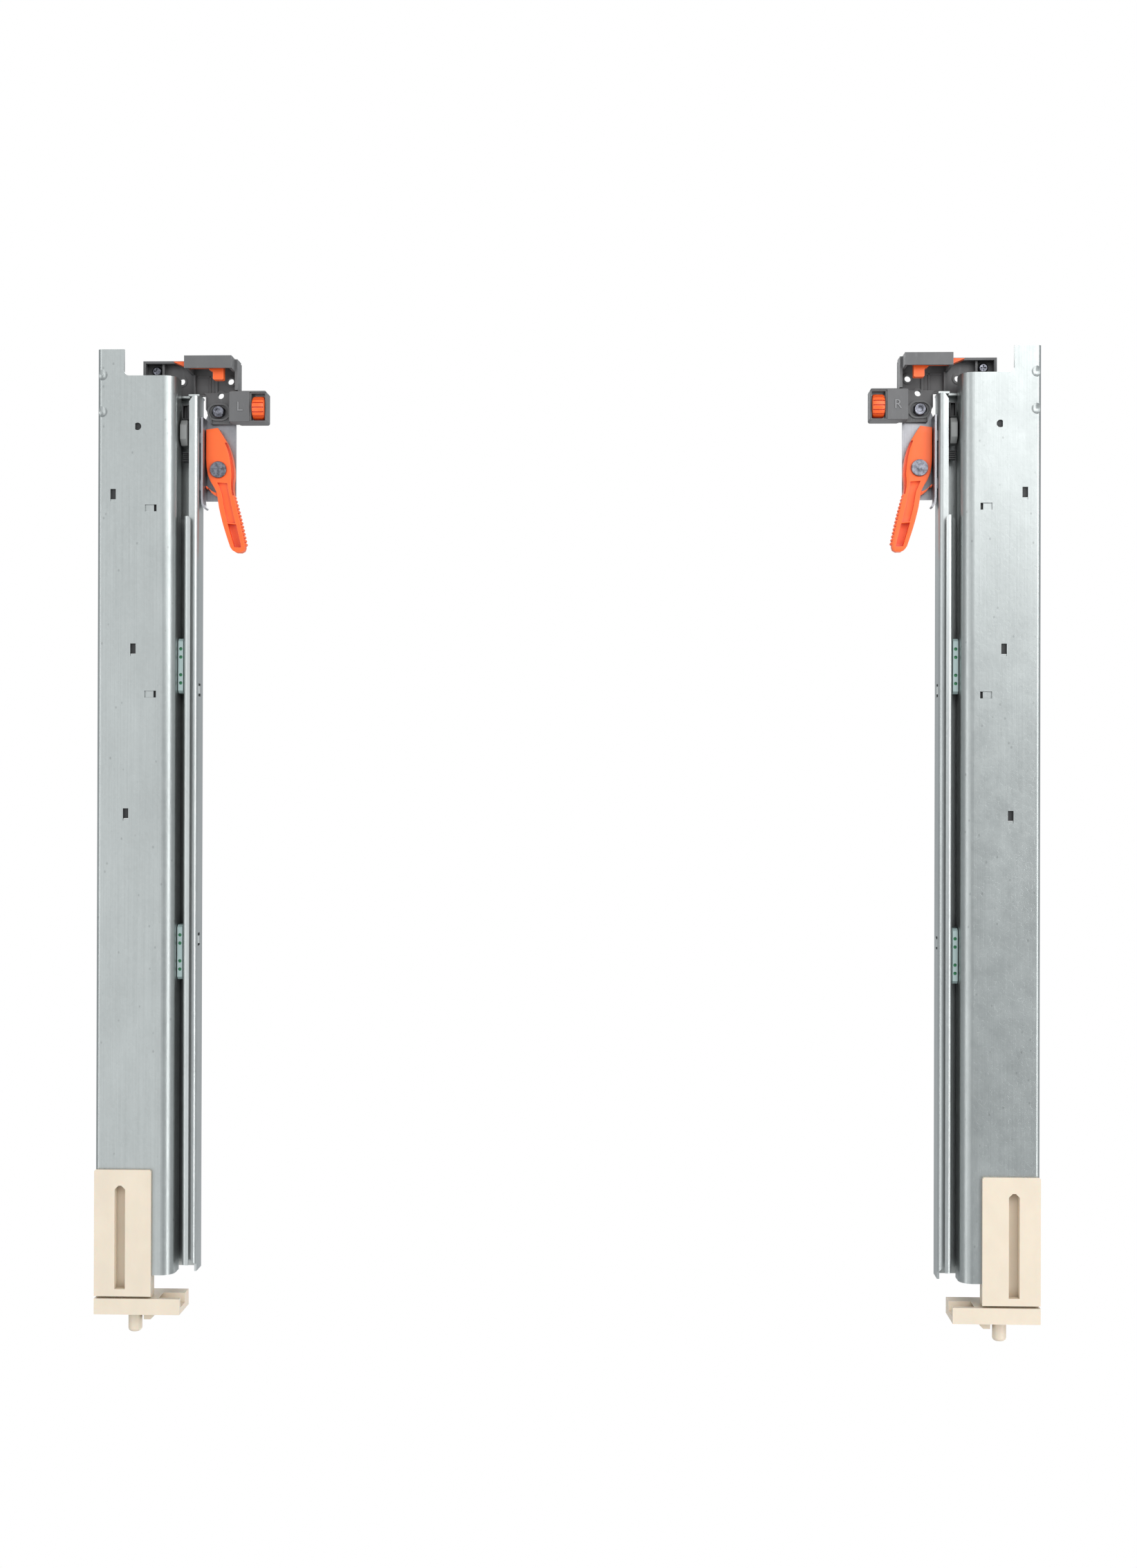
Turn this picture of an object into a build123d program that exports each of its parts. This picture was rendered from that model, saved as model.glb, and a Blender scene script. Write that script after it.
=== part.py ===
from build123d import *
import os

# A matched left and right pair of concealed, full-extension, soft-closing drawer slides,
# closed, in millimetres. +Z is up as installed and -Y is the front, where the drawer opens.
# Each slide is built in its own local frame: X runs inwards from the cabinet side wall,
# Z runs up from the underside of the cabinet profile. The export at the end sets each piece
# in the pair's frame and mirrors it for the right side.

# --- driving dimensions ---------------------------------------------------------------
OPENING = 546.0         # clear width between the two cabinet sides
SOCKET_PLATE = 2.0      # rear bracket's plate, under the cabinet profile
REAR_TIP = 287.0        # end of the rear peg, and minus this is the front of the nose

CABINET_SHEET = 1.5     # thickness of the cabinet profile
RUNNER_SHEET = 1.2      # thickness of the two moving profiles
GAP = 0.2               # between a roller and a track
CAGE_GAP = 0.4          # between a cage and a track
CORNER_GAP = 0.6        # where a cage's corner lies in a wide bend

CABINET_WIDTH = 45.6
CABINET_FRONT = -271.7
CABINET_REAR = 251.9
WALL_HEIGHT = 32.0
NOSE_WIDTH = 15.6
TRACK_TOP = 17.5        # top of the cabinet profile's flange, where the lower cages run
TRACK_EDGE = 31.5       # free edge of that flange
BEND_RADIUS = 7.5       # large outer bend under the flange

LOWER_ROLLER = 3.0      # diameter of the rollers on top of the flange
UNDER_ROLLER = 2.0      # diameter of the rollers under the flange
SIDE_ROLLER = 3.4       # diameter of the upright rollers of the lower cages
UPPER_ROLLER = 3.0
UPPER_SIDE_ROLLER = 4.6

MIDDLE_FRONT = -190.5
MIDDLE_REAR = 247.3
DRAWER_FRONT = -262.0
DRAWER_REAR = 252.2
CAGE_LENGTH = 32.0
LOWER_CAGES = {"front": -103.0, "rear": 64.5}
UPPER_CAGES = {"front": -29.5, "rear": 90.5}
ROLLER_STEPS = (-10.0, -5.2, 5.2, 10.0)   # rollers along a cage, from its middle

# --- heights and widths that follow -----------------------------------------------------
FLANGE_UNDER = TRACK_TOP - CABINET_SHEET
MIDDLE_UNDER = TRACK_TOP + LOWER_ROLLER + 2 * GAP
MIDDLE_TOP = MIDDLE_UNDER + RUNNER_SHEET
DRAWER_UNDER = MIDDLE_TOP + UPPER_ROLLER + 2 * GAP
DRAWER_TOP = DRAWER_UNDER + RUNNER_SHEET
MIDDLE_LIP_TOP = FLANGE_UNDER - UNDER_ROLLER - 2 * GAP
MIDDLE_LEG = CABINET_WIDTH + SIDE_ROLLER + 2 * GAP
MIDDLE_LEG_FACE = MIDDLE_LEG + RUNNER_SHEET
DRAWER_LEG = MIDDLE_LEG_FACE + UPPER_SIDE_ROLLER + 2 * GAP
DRAWER_WIDTH = DRAWER_LEG + RUNNER_SHEET
MIDDLE_OUTSIDE = 26.9   # outer face of the middle profile's outer leg
DRAWER_OUTSIDE = 22.0   # outer face of the drawer profile's outer leg
MIDDLE_FOOT = 5.4       # underside of the middle profile's inner lip
DRAWER_FOOT = 10.0      # underside of the drawer profile's inner lip
DRAWER_LIP = 10.4       # underside of the drawer profile's outer lip

HOUSING_LOW = 24.0      # outer side of the soft-close housing
HOUSING_HIGH = 38.0
HOUSING_FRONT = -225.0
HOUSING_REAR = -5.0
HOUSING_TOP = 9.4
DAMPER_X = 28.3         # axis of damper, rod, catch and catch pin
DAMPER_Z = 5.9
SPRING_X = 34.6
CATCH_Y = -150.0

LEVER_X = 66.8          # pivot of the release lever
LEVER_Y = -219.8
LEVER_UNDER = 19.3
LEVER_TOP = 25.0
PLATE_UNDER = 25.3      # underside of the steel hook plate
PLATE_TOP = 26.5
BASE_FLOOR = 24.4       # underside of the locking base's floor
WHEEL_X = 91.3
WHEEL_Y = -255.6
WHEEL_Z = 18.4
WHEEL_R = 7.0

HOOK_OUTER = 33.0       # foot of the rear hook
HOOK_INNER = 47.0
HOOK_FRONT = 245.0

WALL_HOLES = 4
WALL_HOLE_STEP = 128.0
WALL_HOLE_FIRST = -250.0
WALL_HOLE_Z = 24.0
WALL_HOLE_R = 2.3

LANCED_SLOTS = [(9.3, -202.0), (21.2, -112.0), (17.2, -16.0)]   # tongues that hold the housing
LANCED_BRIDGES = [(31.4, -194.5), (31.4, -86.1)]
SIDE_BRIDGES = (-89.3, 57.5)              # on the drawer profile's inner leg
CORNER_DIMPLES = (-272.0, -250.6)         # pressed into the bend at the wall
DIMPLE_X = 2.6
DIMPLE_BALL = 5.6                         # radius of the ball that presses them
DIMPLE_DEPTH = 1.0

PLATE_FRONT = 190.4     # rear bracket's plate, groove, foot and channel
PLATE_REAR = 263.8
FOOT_FRONT = 265.2
FOOT_REAR = 274.4
FOOT_TOP = 22.0
CHANNEL_FRONT = 199.6
CHANNEL_REAR = 259.6
CHANNEL_ROOF = 3.6
PEG_X = 21.2
PEG_Z = 10.7

GUIDE_X = 66.2          # guide rivet
GUIDE_Y = -254.6
BASE_HOLES = [(43.8, -273.0), (73.0, -273.0), (67.2, -264.4)]
BASE_HOLE_R = 1.9
SCREW_X = 29.2
SCREW_Y = -278.9


# --- small helpers ------------------------------------------------------------------------
def block(x0, x1, y0, y1, z0, z1):
    """A box between six planes."""
    size = Box(x1 - x0, y1 - y0, z1 - z0)
    return Pos((x0 + x1) / 2, (y0 + y1) / 2, (z0 + z1) / 2) * size


def upright(x, y, radius, z0, z1):
    """A cylinder along Z."""
    return Pos(x, y, (z0 + z1) / 2) * Cylinder(radius, z1 - z0)


def lengthwise(x, z, radius, y0, y1):
    """A cylinder along Y."""
    return Pos(x, (y0 + y1) / 2, z) * Rot(90, 0, 0) * Cylinder(radius, y1 - y0)


def crosswise(y, z, radius, x0, x1):
    """A cylinder along X."""
    return Pos((x0 + x1) / 2, y, z) * Rot(0, 90, 0) * Cylinder(radius, x1 - x0)


def slab(points, z0, z1, radius=0.0):
    """An outline in plan, its corners rounded, between two heights."""
    outline = make_face(Polyline(*points, close=True))
    if radius:
        outline = fillet(outline.vertices(), radius)
    return extrude(Pos(0, 0, z0) * outline, z1 - z0)


def slot(x, y, radius, reach, z0, z1):
    """A slot along X with round ends."""
    ends = upright(x - reach, y, radius, z0, z1) + upright(x + reach, y, radius, z0, z1)
    return ends + block(x - reach, x + reach, y - radius, y + radius, z0, z1)


def folded(points, sheet, radii, y0, y1):
    """Sheet metal folded along a centre line in the X-Z plane, between two Y planes."""
    section = trace(FilletPolyline(*points, radius=radii), sheet)
    return Pos(0, y1, 0) * extrude(Plane.XZ * section, y1 - y0)


# --- fixed to the cabinet -------------------------------------------------------------------
def cabinet_profile():
    """Wall flange, bottom plate with its nose, large bend, upright and track flange."""
    half = CABINET_SHEET / 2
    bottom_bend = BEND_RADIUS - half
    tight_bend = 1.0 + half
    track = CABINET_WIDTH - half
    line = [(half, WALL_HEIGHT), (half, half), (track, half), (track, TRACK_TOP - half),
            (TRACK_EDGE, TRACK_TOP - half)]
    sheet = folded(line, CABINET_SHEET, [tight_bend, bottom_bend, tight_bend], -REAR_TIP, CABINET_REAR)
    front = slab([(NOSE_WIDTH, CABINET_FRONT), (NOSE_WIDTH, -REAR_TIP - 1), (60, -REAR_TIP - 1),
                  (60, CABINET_FRONT)], -1, WALL_HEIGHT + 1, 2.8)
    cut = front + block(NOSE_WIDTH + 3, 60, -REAR_TIP - 1, CABINET_FRONT, -1, WALL_HEIGHT + 1)
    cut += block(NOSE_WIDTH, 60, -REAR_TIP - 1, CABINET_FRONT - 5, -1, WALL_HEIGHT + 1)
    sheet -= cut
    # the wall flange is cut back and sloped at the nose
    slope = Polyline((-REAR_TIP - 1, 12), (-REAR_TIP - 1, 40), (CABINET_FRONT, 40),
                     (CABINET_FRONT, WALL_HEIGHT), close=True)
    sheet -= Pos(-1, 0, 0) * extrude(Plane.YZ * make_face(slope), 4)
    for i in range(WALL_HOLES):
        sheet -= crosswise(WALL_HOLE_FIRST + i * WALL_HOLE_STEP, WALL_HOLE_Z, WALL_HOLE_R, -1, 3)
    sheet -= upright(23.5, -242.0, 2.2, -1, 3) - block(20, 22.1, -245, -239, -1, 3)
    for x, y in LANCED_SLOTS:
        sheet -= block(x - 1.6, x + 1.6, y - 3.6, y + 3.6, -1, 3)
        sheet += block(x - 1.5, x + 1.5, y + 2.4, y + 3.7, 0.4, 4.4)
    for x, y in LANCED_BRIDGES:
        sheet -= block(x - 3.4, x + 3.4, y - 2, y + 2, -1, 3)
        sheet += block(x - 3.6, x + 1.7, y - 1.9, y + 1.9, 0.9, 1.9)
    sunk = DIMPLE_DEPTH - DIMPLE_BALL
    for y in CORNER_DIMPLES:
        bump = Pos(DIMPLE_X, y, sunk) * Sphere(DIMPLE_BALL + 1.2)
        sheet += bump & block(0.5, 8, y - 5, y + 5, 1.0, 4)
        sheet -= Pos(DIMPLE_X, y, sunk) * Sphere(DIMPLE_BALL)
    # the bracket's channel passes through the bottom plate
    sheet -= block(10.5, 19.9, CHANNEL_FRONT - 1.6, CABINET_REAR + 1, -1, 3)
    return sheet


def rear_bracket():
    """Plastic socket that takes the profile's rear end, with the peg for the cabinet's back."""
    plate = block(0, 33.2, PLATE_FRONT, PLATE_REAR, -SOCKET_PLATE, 0)
    plate = chamfer(plate.edges().filter_by(Axis.Z).group_by(Axis.Y)[0], 0.8)
    neck = block(0.6, 32.6, PLATE_REAR - 0.5, FOOT_FRONT + 0.5, CABINET_SHEET, 9)
    neck += block(0.6, 32.6, 253, PLATE_REAR, -0.5, 9)
    walls = block(10.6, 19.8, CHANNEL_FRONT - 1.5, PLATE_REAR, -0.5, CHANNEL_ROOF + 1.2)
    channel = block(12, 18.2, CHANNEL_FRONT, CHANNEL_REAR, -SOCKET_PLATE - 1, CHANNEL_ROOF)
    channel = chamfer(channel.edges().filter_by(Axis.Z).group_by(Axis.Y)[0], 2.2)
    foot = block(0, 50, FOOT_FRONT, FOOT_REAR, -SOCKET_PLATE, FOOT_TOP)
    foot -= slab([(38, FOOT_FRONT - 1), (51, FOOT_FRONT - 1), (51, FOOT_FRONT + 5.5),
                  (33.6, FOOT_FRONT + 5.5)], 1.0, 12.6)
    tongue = block(4, 20, 232, 259, CABINET_SHEET, 4)
    pads = block(2.5, 8, 240, 259, 4, 12) + block(16, 20, 240, 259, 4, 9)
    peg = lengthwise(PEG_X, PEG_Z, 4.0, FOOT_FRONT + 2, REAR_TIP)
    peg = fillet(peg.edges().group_by(Axis.Y)[-1], 2.0)
    ring = lengthwise(PEG_X, PEG_Z, 4.6, FOOT_FRONT + 2, 275)
    boss = slab([(27, 273), (33, 273), (33, 277.5), (31, 279.5), (27, 279.5)], 7, 14)
    return plate + neck + walls + tongue + pads - channel + foot + peg + ring + boss


def damper_housing():
    """Open tray that lies on the bottom plate and guides catch, damper and spring."""
    floor = CABINET_SHEET + 1.2
    tray = block(HOUSING_LOW, HOUSING_HIGH, HOUSING_FRONT, HOUSING_REAR, CABINET_SHEET, HOUSING_TOP)
    tray -= block(25.2, 31.4, HOUSING_FRONT + 2, HOUSING_REAR - 2, floor, 12)
    tray -= block(32.2, 36.9, HOUSING_FRONT + 2, HOUSING_REAR - 2, floor, 12)
    tray -= block(31, 33, HOUSING_FRONT + 2, -100, 7.0, 12)          # low divider under the catch's arm
    tray -= block(25.2, 31.4, HOUSING_FRONT - 1, HOUSING_FRONT + 3, 6.0, 12)   # way out for the pin
    for y in (-92, -30):
        tray += block(25.2, 31.4, y - 2, y + 2, floor, 4.4)
        tray -= lengthwise(DAMPER_X, DAMPER_Z, 3.05, y - 3, y + 3)
    # thin floor out to the tongues that hold it
    tray += block(6.5, HOUSING_LOW + 1, -250, HOUSING_REAR, CABINET_SHEET, floor)
    tray += block(HOUSING_LOW, 31.4, -250, HOUSING_FRONT, CABINET_SHEET, floor)
    for x, y in LANCED_SLOTS:
        tray -= block(x - 1.7, x + 1.7, y + 2.2, y + 3.9, 1, 3)
    for x, y in LANCED_BRIDGES:
        tray -= block(x - 4, x + 4, y - 2.6, y + 2.6, 1, 2.3)
    return tray


def damper_cylinder():
    """Tube with a bored front cap, where the rod comes out."""
    tube = lengthwise(DAMPER_X, DAMPER_Z, 3.0, -105, -15)
    tube -= lengthwise(DAMPER_X, DAMPER_Z, 2.3, -102, -17)
    return tube - lengthwise(DAMPER_X, DAMPER_Z, 1.1, -106, -101)


def closing_spring():
    """Close-wound tension spring beside the damper, with straight ends."""
    pitch = 1.6
    radius = 1.7
    length = 24 * pitch
    coil_front = -92.0
    path = Helix(pitch, length, radius)
    start = path @ 0
    wire = Plane(origin=start, z_dir=path % 0) * Circle(0.35)
    coil = sweep(wire, path=path)
    coil = Pos(SPRING_X, coil_front, 5.7) * Rot(-90, 0, 0) * coil
    stem_x = SPRING_X + radius
    front = lengthwise(stem_x, 5.7, 0.35, -139.5, coil_front)
    rear = lengthwise(stem_x, 5.7, 0.35, coil_front + length, -9)
    return coil + front + rear


def piston_rod():
    """Damper rod with its piston head, held in the catch."""
    rod = lengthwise(DAMPER_X, DAMPER_Z, 1.0, CATCH_Y + 10, -60)
    return rod + lengthwise(DAMPER_X, DAMPER_Z, 1.9, -62, -58)


def closing_catch():
    """Slider with an open groove for the catch pin and an arm over to the spring."""
    front = CATCH_Y - 10
    rear = CATCH_Y + 10
    body = block(25.5, 31.1, front, rear, 3.0, 9.0)
    body -= block(DAMPER_X - 1.8, DAMPER_X + 1.8, front - 1, rear + 1, 6.6, 10)
    arm = block(30.5, 36.6, rear - 4, rear - 1, 7.4, 8.8)
    hook = block(35.2, 36.6, rear - 4, rear - 1, 6.2, 8.0)
    return body + arm + hook


# --- cages and rollers ------------------------------------------------------------------------
def lower_cage(centre):
    """Plastic cage around the cabinet profile's flange."""
    y0 = centre - CAGE_LENGTH / 2
    y1 = centre + CAGE_LENGTH / 2
    inner = CABINET_WIDTH + CAGE_GAP
    outer = MIDDLE_LEG - CAGE_GAP
    low = TRACK_TOP + CAGE_GAP
    high = MIDDLE_UNDER - CAGE_GAP
    top = block(28.5, outer, y0, y1, low, high)
    side = block(inner, outer, y0, y1, 7.4, high)
    side = chamfer(side.edges().filter_by(Axis.X).group_by(Axis.Z)[0], 1.6)
    edge = block(28.5, TRACK_EDGE - 0.5, y0, y1, MIDDLE_LIP_TOP + CAGE_GAP, high)
    under = block(28.5, 35, y0, y1, MIDDLE_LIP_TOP + CAGE_GAP, FLANGE_UNDER - CAGE_GAP)
    cage = top + side + edge + under
    for step in ROLLER_STEPS:
        y = centre + step
        cage -= block(36.3, 43.2, y - 1.65, y + 1.65, low - 1, high + 1)
        cage -= block(inner - 1, outer + 1, y - 1.85, y + 1.85, 8.6, 15.4)
        cage -= upright(47.5, y, 1.0, 7, 10)
        cage -= block(32.1, 36, y - 1.15, y + 1.15, 13, 16.5)
    return cage


def lower_rollers(centre):
    """Three rows of rollers: on the flange, beside the upright and under the flange."""
    rollers = []
    side_x = CABINET_WIDTH + GAP + SIDE_ROLLER / 2
    top_z = TRACK_TOP + GAP + LOWER_ROLLER / 2
    under_z = MIDDLE_LIP_TOP + GAP + UNDER_ROLLER / 2
    for step in ROLLER_STEPS:
        y = centre + step
        rollers.append(crosswise(y, top_z, LOWER_ROLLER / 2, 36.5, 43.0))
        rollers.append(upright(side_x, y, SIDE_ROLLER / 2, 8.8, 15.2))
        rollers.append(crosswise(y, under_z, UNDER_ROLLER / 2, 32.3, 34.6))
    return Part() + rollers


def upper_cage(centre):
    """Plastic cage over the middle profile."""
    y0 = centre - CAGE_LENGTH / 2
    y1 = centre + CAGE_LENGTH / 2
    low = MIDDLE_TOP + CAGE_GAP
    high = DRAWER_UNDER - CORNER_GAP
    inner = MIDDLE_LEG_FACE + CAGE_GAP
    outer = DRAWER_LEG - CORNER_GAP
    outside = DRAWER_OUTSIDE + RUNNER_SHEET + CORNER_GAP
    cage = block(outside, outer, y0, y1, low, high)
    cage += block(inner, outer, y0, y1, DRAWER_FOOT + 2.2, high)
    cage += block(outside, MIDDLE_OUTSIDE - CAGE_GAP, y0, y1, 14, high)
    for step in ROLLER_STEPS:
        y = centre + step
        cage -= block(34.8, 43.2, y - 1.65, y + 1.65, low - 1, high + 1)
        cage -= block(inner - 1, outer + 1, y - 2.45, y + 2.45, 13.4, 20.6)
    return cage


def upper_rollers(centre):
    """Two rows of rollers: on the middle profile's top and beside its inner leg."""
    rollers = []
    side_x = MIDDLE_LEG_FACE + GAP + UPPER_SIDE_ROLLER / 2
    top_z = MIDDLE_TOP + GAP + UPPER_ROLLER / 2
    for step in ROLLER_STEPS:
        y = centre + step
        rollers.append(crosswise(y, top_z, UPPER_ROLLER / 2, 35.0, 43.0))
        rollers.append(upright(side_x, y, UPPER_SIDE_ROLLER / 2 - 0.1, 13.6, 20.4))
    return Part() + rollers


# --- moving profiles -----------------------------------------------------------------------------
def middle_profile():
    """Sheet folded round the track: outer lip, outer leg, top, inner leg and foot."""
    half = RUNNER_SHEET / 2
    bend = 1.0 + half
    outside = MIDDLE_OUTSIDE + half
    top = MIDDLE_TOP - half
    leg = MIDDLE_LEG + half
    lip = MIDDLE_LIP_TOP - half
    foot = MIDDLE_FOOT + half
    line = [(34.5, lip), (outside, lip), (outside, top), (leg, top), (leg, foot), (53.2, foot)]
    sheet = folded(line, RUNNER_SHEET, bend, MIDDLE_FRONT, MIDDLE_REAR)
    corner = slab([(51.4, MIDDLE_FRONT - 1), (54, MIDDLE_FRONT - 1), (54, MIDDLE_FRONT + 3)],
                  MIDDLE_FOOT - 1, MIDDLE_FOOT + 2)
    return sheet - corner


def middle_buffer():
    """Rubber-like stop under the middle profile's top at its rear end."""
    stop = block(34, 44, MIDDLE_REAR - 11, MIDDLE_REAR - 1, TRACK_TOP + 0.6, MIDDLE_UNDER)
    return chamfer(stop.edges().filter_by(Axis.X).group_by(Axis.Z)[0], 1.0)


def drawer_profile():
    """Outer sheet with lips, a turned front tab, chamfered lip and pointed rear end."""
    half = RUNNER_SHEET / 2
    bend = 1.4 + half
    outside = DRAWER_OUTSIDE + half
    top = DRAWER_TOP - half
    leg = DRAWER_LEG + half
    lip = DRAWER_LIP + half
    foot = DRAWER_FOOT + half
    line = [(30.5, lip), (outside, lip), (outside, top), (leg, top), (leg, foot), (51.4, foot)]
    sheet = folded(line, RUNNER_SHEET, bend, DRAWER_FRONT, DRAWER_REAR)
    sheet -= slab([(51, DRAWER_FRONT - 1), (54.4, DRAWER_FRONT - 1), (51, DRAWER_FRONT + 4)],
                  DRAWER_FOOT - 1, DRAWER_FOOT + 2)
    sheet -= slab([(51, DRAWER_REAR + 1), (58, DRAWER_REAR + 1), (58, DRAWER_REAR - 3),
                   (51, DRAWER_REAR - 9)], DRAWER_FOOT - 1, DRAWER_FOOT + 2)
    tab = block(42.3, DRAWER_WIDTH, DRAWER_FRONT - 1.2, DRAWER_FRONT, 18.2, DRAWER_TOP)
    tab += block(50.5, DRAWER_WIDTH, DRAWER_FRONT - 1.2, DRAWER_FRONT, 12.5, DRAWER_TOP)
    for y in SIDE_BRIDGES:
        sheet -= block(DRAWER_LEG - 1, DRAWER_WIDTH + 1, y - 3.8, y + 3.8, 13, 18)
        sheet += block(DRAWER_LEG + 0.6, DRAWER_WIDTH + 0.7, y - 2.2, y + 2.2, 12.6, 18.4)
    # the rear hook's foot sits flush in a notch
    sheet -= block(HOOK_OUTER, HOOK_INNER, HOOK_FRONT, DRAWER_REAR + 1, DRAWER_UNDER - 1, DRAWER_TOP + 1)
    return sheet + tab


def front_buffer():
    """Plastic guide block on the drawer profile's inside, ahead of the middle profile."""
    block_yz = make_face(Polyline((-245.5, 10.5), (-241.5, 7.0), (-233.5, 7.0), (-231.5, 10.5),
                                  (-231.5, 20.0), (-245.5, 20.0), close=True))
    body = Pos(47.2, 0, 0) * extrude(Plane.YZ * block_yz, 3.6)
    stem = block(50.6, DRAWER_LEG, -243.5, -234.5, 13.0, 18.0)
    head = block(46.6, 50.6, -255.5, -223.5, 18.6, 22.6)
    return body + stem + head


def rear_hook():
    """Upright tab behind the drawer's back with a pin pointing into it."""
    foot = block(HOOK_OUTER, HOOK_INNER, HOOK_FRONT, DRAWER_REAR, DRAWER_UNDER, DRAWER_TOP)
    tab = block(HOOK_OUTER, HOOK_INNER, DRAWER_REAR - RUNNER_SHEET, DRAWER_REAR, DRAWER_TOP,
                DRAWER_TOP + 17)
    pin = lengthwise(40, DRAWER_TOP + 11, 2.5, 236, 251.5)
    pin = chamfer(pin.edges().group_by(Axis.Y)[0], 1.2)
    return foot + tab + pin


def catch_pin():
    """Pin under the drawer profile's outer lip that the closing catch takes."""
    pin = upright(DAMPER_X, CATCH_Y, 1.25, 7.0, DRAWER_LIP)
    return fillet(pin.edges().group_by(Axis.Z)[0], 0.4)


# --- front locking device ---------------------------------------------------------------------------
def hook_plate():
    """Flat steel plate with a flange beside the drawer profile and a bent-in rear end."""
    plate = slab([(59.4, -259), (74.5, -259), (76, -257.5), (76, -205), (73, -202), (57.6, -202),
                  (57.6, -250), (59.4, -254)], PLATE_UNDER, PLATE_TOP)
    flange = block(57.6, 58.8, -250, -202, 13.5, PLATE_TOP)
    tail = slab([(57.6, -202), (58.8, -202), (59.1, -199), (60.6, -196.6), (59.7, -195.9),
                 (58.0, -198.6)], 13.5, 22)
    hooks = block(DRAWER_WIDTH, 58, -241, -235, 15, 20) + block(DRAWER_WIDTH, 58, -213, -207, 15, 20)
    plate = plate + flange + tail + hooks
    return plate


def lock_rivets():
    """The lever's pivot rivet and the round rivet that guides the base."""
    pivot = upright(LEVER_X, LEVER_Y, 4.9, 17.9, 19.1)
    pivot = fillet(pivot.edges().group_by(Axis.Z)[0], 0.5)
    pivot += upright(LEVER_X, LEVER_Y, 3.0, 19.0, PLATE_UNDER)
    guide = upright(GUIDE_X, GUIDE_Y, 3.6, 20.6, 22.7)
    guide = chamfer(guide.edges().group_by(Axis.Z)[0], 0.6)
    guide -= upright(GUIDE_X, GUIDE_Y, 1.4, 20, 21.6)
    guide += upright(GUIDE_X, GUIDE_Y, 2.4, 22.5, PLATE_UNDER)
    return Part() + [pivot, guide]


def lock_base():
    """Plastic base under the drawer's bottom: rimmed front bar, rear tongue and bridge loop."""
    bar = slab([(22.1, -284), (79, -284), (79, -264.4), (22.1, -264.4)], BASE_FLOOR, DRAWER_TOP, 1.2)
    tongue = slab([(57.6, -266), (79, -266), (79, -247.4), (61.8, -247.4), (61.8, -251.5),
                   (59.2, -255.5), (58.9, -263)], 22.9, DRAWER_TOP)
    tongue -= block(50, 78.2, -260.4, -240, 25.0, DRAWER_TOP + 1)
    base = bar + tongue
    rims = block(22.1, 23.6, -284, -264.4, 18.2, BASE_FLOOR)
    rims += block(22.1, 50, -284, -282.6, 18.2, BASE_FLOOR)
    rims += block(33.0, 34.2, -282.6, -264.4, 20.4, BASE_FLOOR)
    rims += block(77.5, 79, -284, -266, 14.0, BASE_FLOOR)
    rims += block(50.8, 52, -276.8, -264.4, 22.8, BASE_FLOOR)
    rims += block(64, 65.2, -274, -260.5, 23.4, BASE_FLOOR)
    base += rims
    # bridge loop: two legs, a bottom bar and a front wall
    base += block(49.8, 51.4, -282.6, -276.8, 3.4, BASE_FLOOR)
    base += block(76.0, 77.6, -282.6, -276.8, 3.4, BASE_FLOOR)
    base += block(49.8, 77.6, -282.6, -276.8, 3.4, 5.2)
    base += block(49.8, 77.6, -284, -282.6, 3.4, BASE_FLOOR)
    base -= block(49, 52, -281.9, -278.0, 7.6, 14.4)                 # window for the wedge
    for x, y in BASE_HOLES:
        base += upright(x, y, 3.1, BASE_FLOOR - 0.6, BASE_FLOOR + 0.5)
    for x, y in BASE_HOLES:
        base -= upright(x, y, BASE_HOLE_R, 18, 30)
    base -= upright(SCREW_X, SCREW_Y, 1.6, 18, 30)
    ring = slot(GUIDE_X, GUIDE_Y, 5.2, 1.6, 22.1, 22.9)
    base += ring
    return base - slot(GUIDE_X, GUIDE_Y, 4.2, 1.6, 21, 22.95) - slot(GUIDE_X, GUIDE_Y, 2.7, 1.6, 21, 26)


def adjuster_housing():
    """Block beside the base with the open pocket of the thumbwheel."""
    body = slab([(73.9, -265.4), (96.2, -265.4), (96.2, -247), (73.9, -247)], 13.5, 25.6)
    body = fillet(body.edges().filter_by(Axis.Z), 1.2)
    body = chamfer(body.edges().group_by(Axis.Z)[0], 0.5)
    body -= block(70, 79.2, -270, -240, 22.9, 30)
    body -= block(87.2, 95.3, -263.9, -247.9, 10, 30)
    body -= slab([(86.2, -264.6), (96.0, -264.6), (96.0, -247.4), (86.2, -247.4)], 10, 14.2)
    return body - crosswise(WHEEL_Y, WHEEL_Z, 2.1, 76, 88)


def thumbwheel():
    """Ribbed wheel with its threaded stub, on an axis along X."""
    wheel = crosswise(WHEEL_Y, WHEEL_Z, WHEEL_R - 0.5, WHEEL_X - 3.7, WHEEL_X + 3.7)
    wheel = chamfer(wheel.edges(), 1.0)
    ribs = 16
    rib = Pos(WHEEL_X, 0, WHEEL_R - 0.9) * Box(5.2, 1.5, 1.8)
    for i in range(ribs):
        wheel += Pos(0, WHEEL_Y, WHEEL_Z) * Rot(i * 360 / ribs, 0, 0) * rib
    return wheel + crosswise(WHEEL_Y, WHEEL_Z, 2.0, 77, WHEEL_X)


def height_wedge():
    """Sliding wedge in the loop, with its pointed end and its finger tab."""
    bar = slab([(42.4, -281.4), (49.4, -281.6), (72, -281.6), (72, -278.4), (49.4, -278.4)], 8, 14)
    tab = slab([(63.4, -279), (71.8, -279), (71.8, -271.0), (65.6, -271.0), (65.6, -275.6),
                (63.4, -276.8)], 8.6, 13.4)
    return bar + fillet(tab.edges().filter_by(Axis.Z).group_by(Axis.Y)[-1], 0.8)


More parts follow.
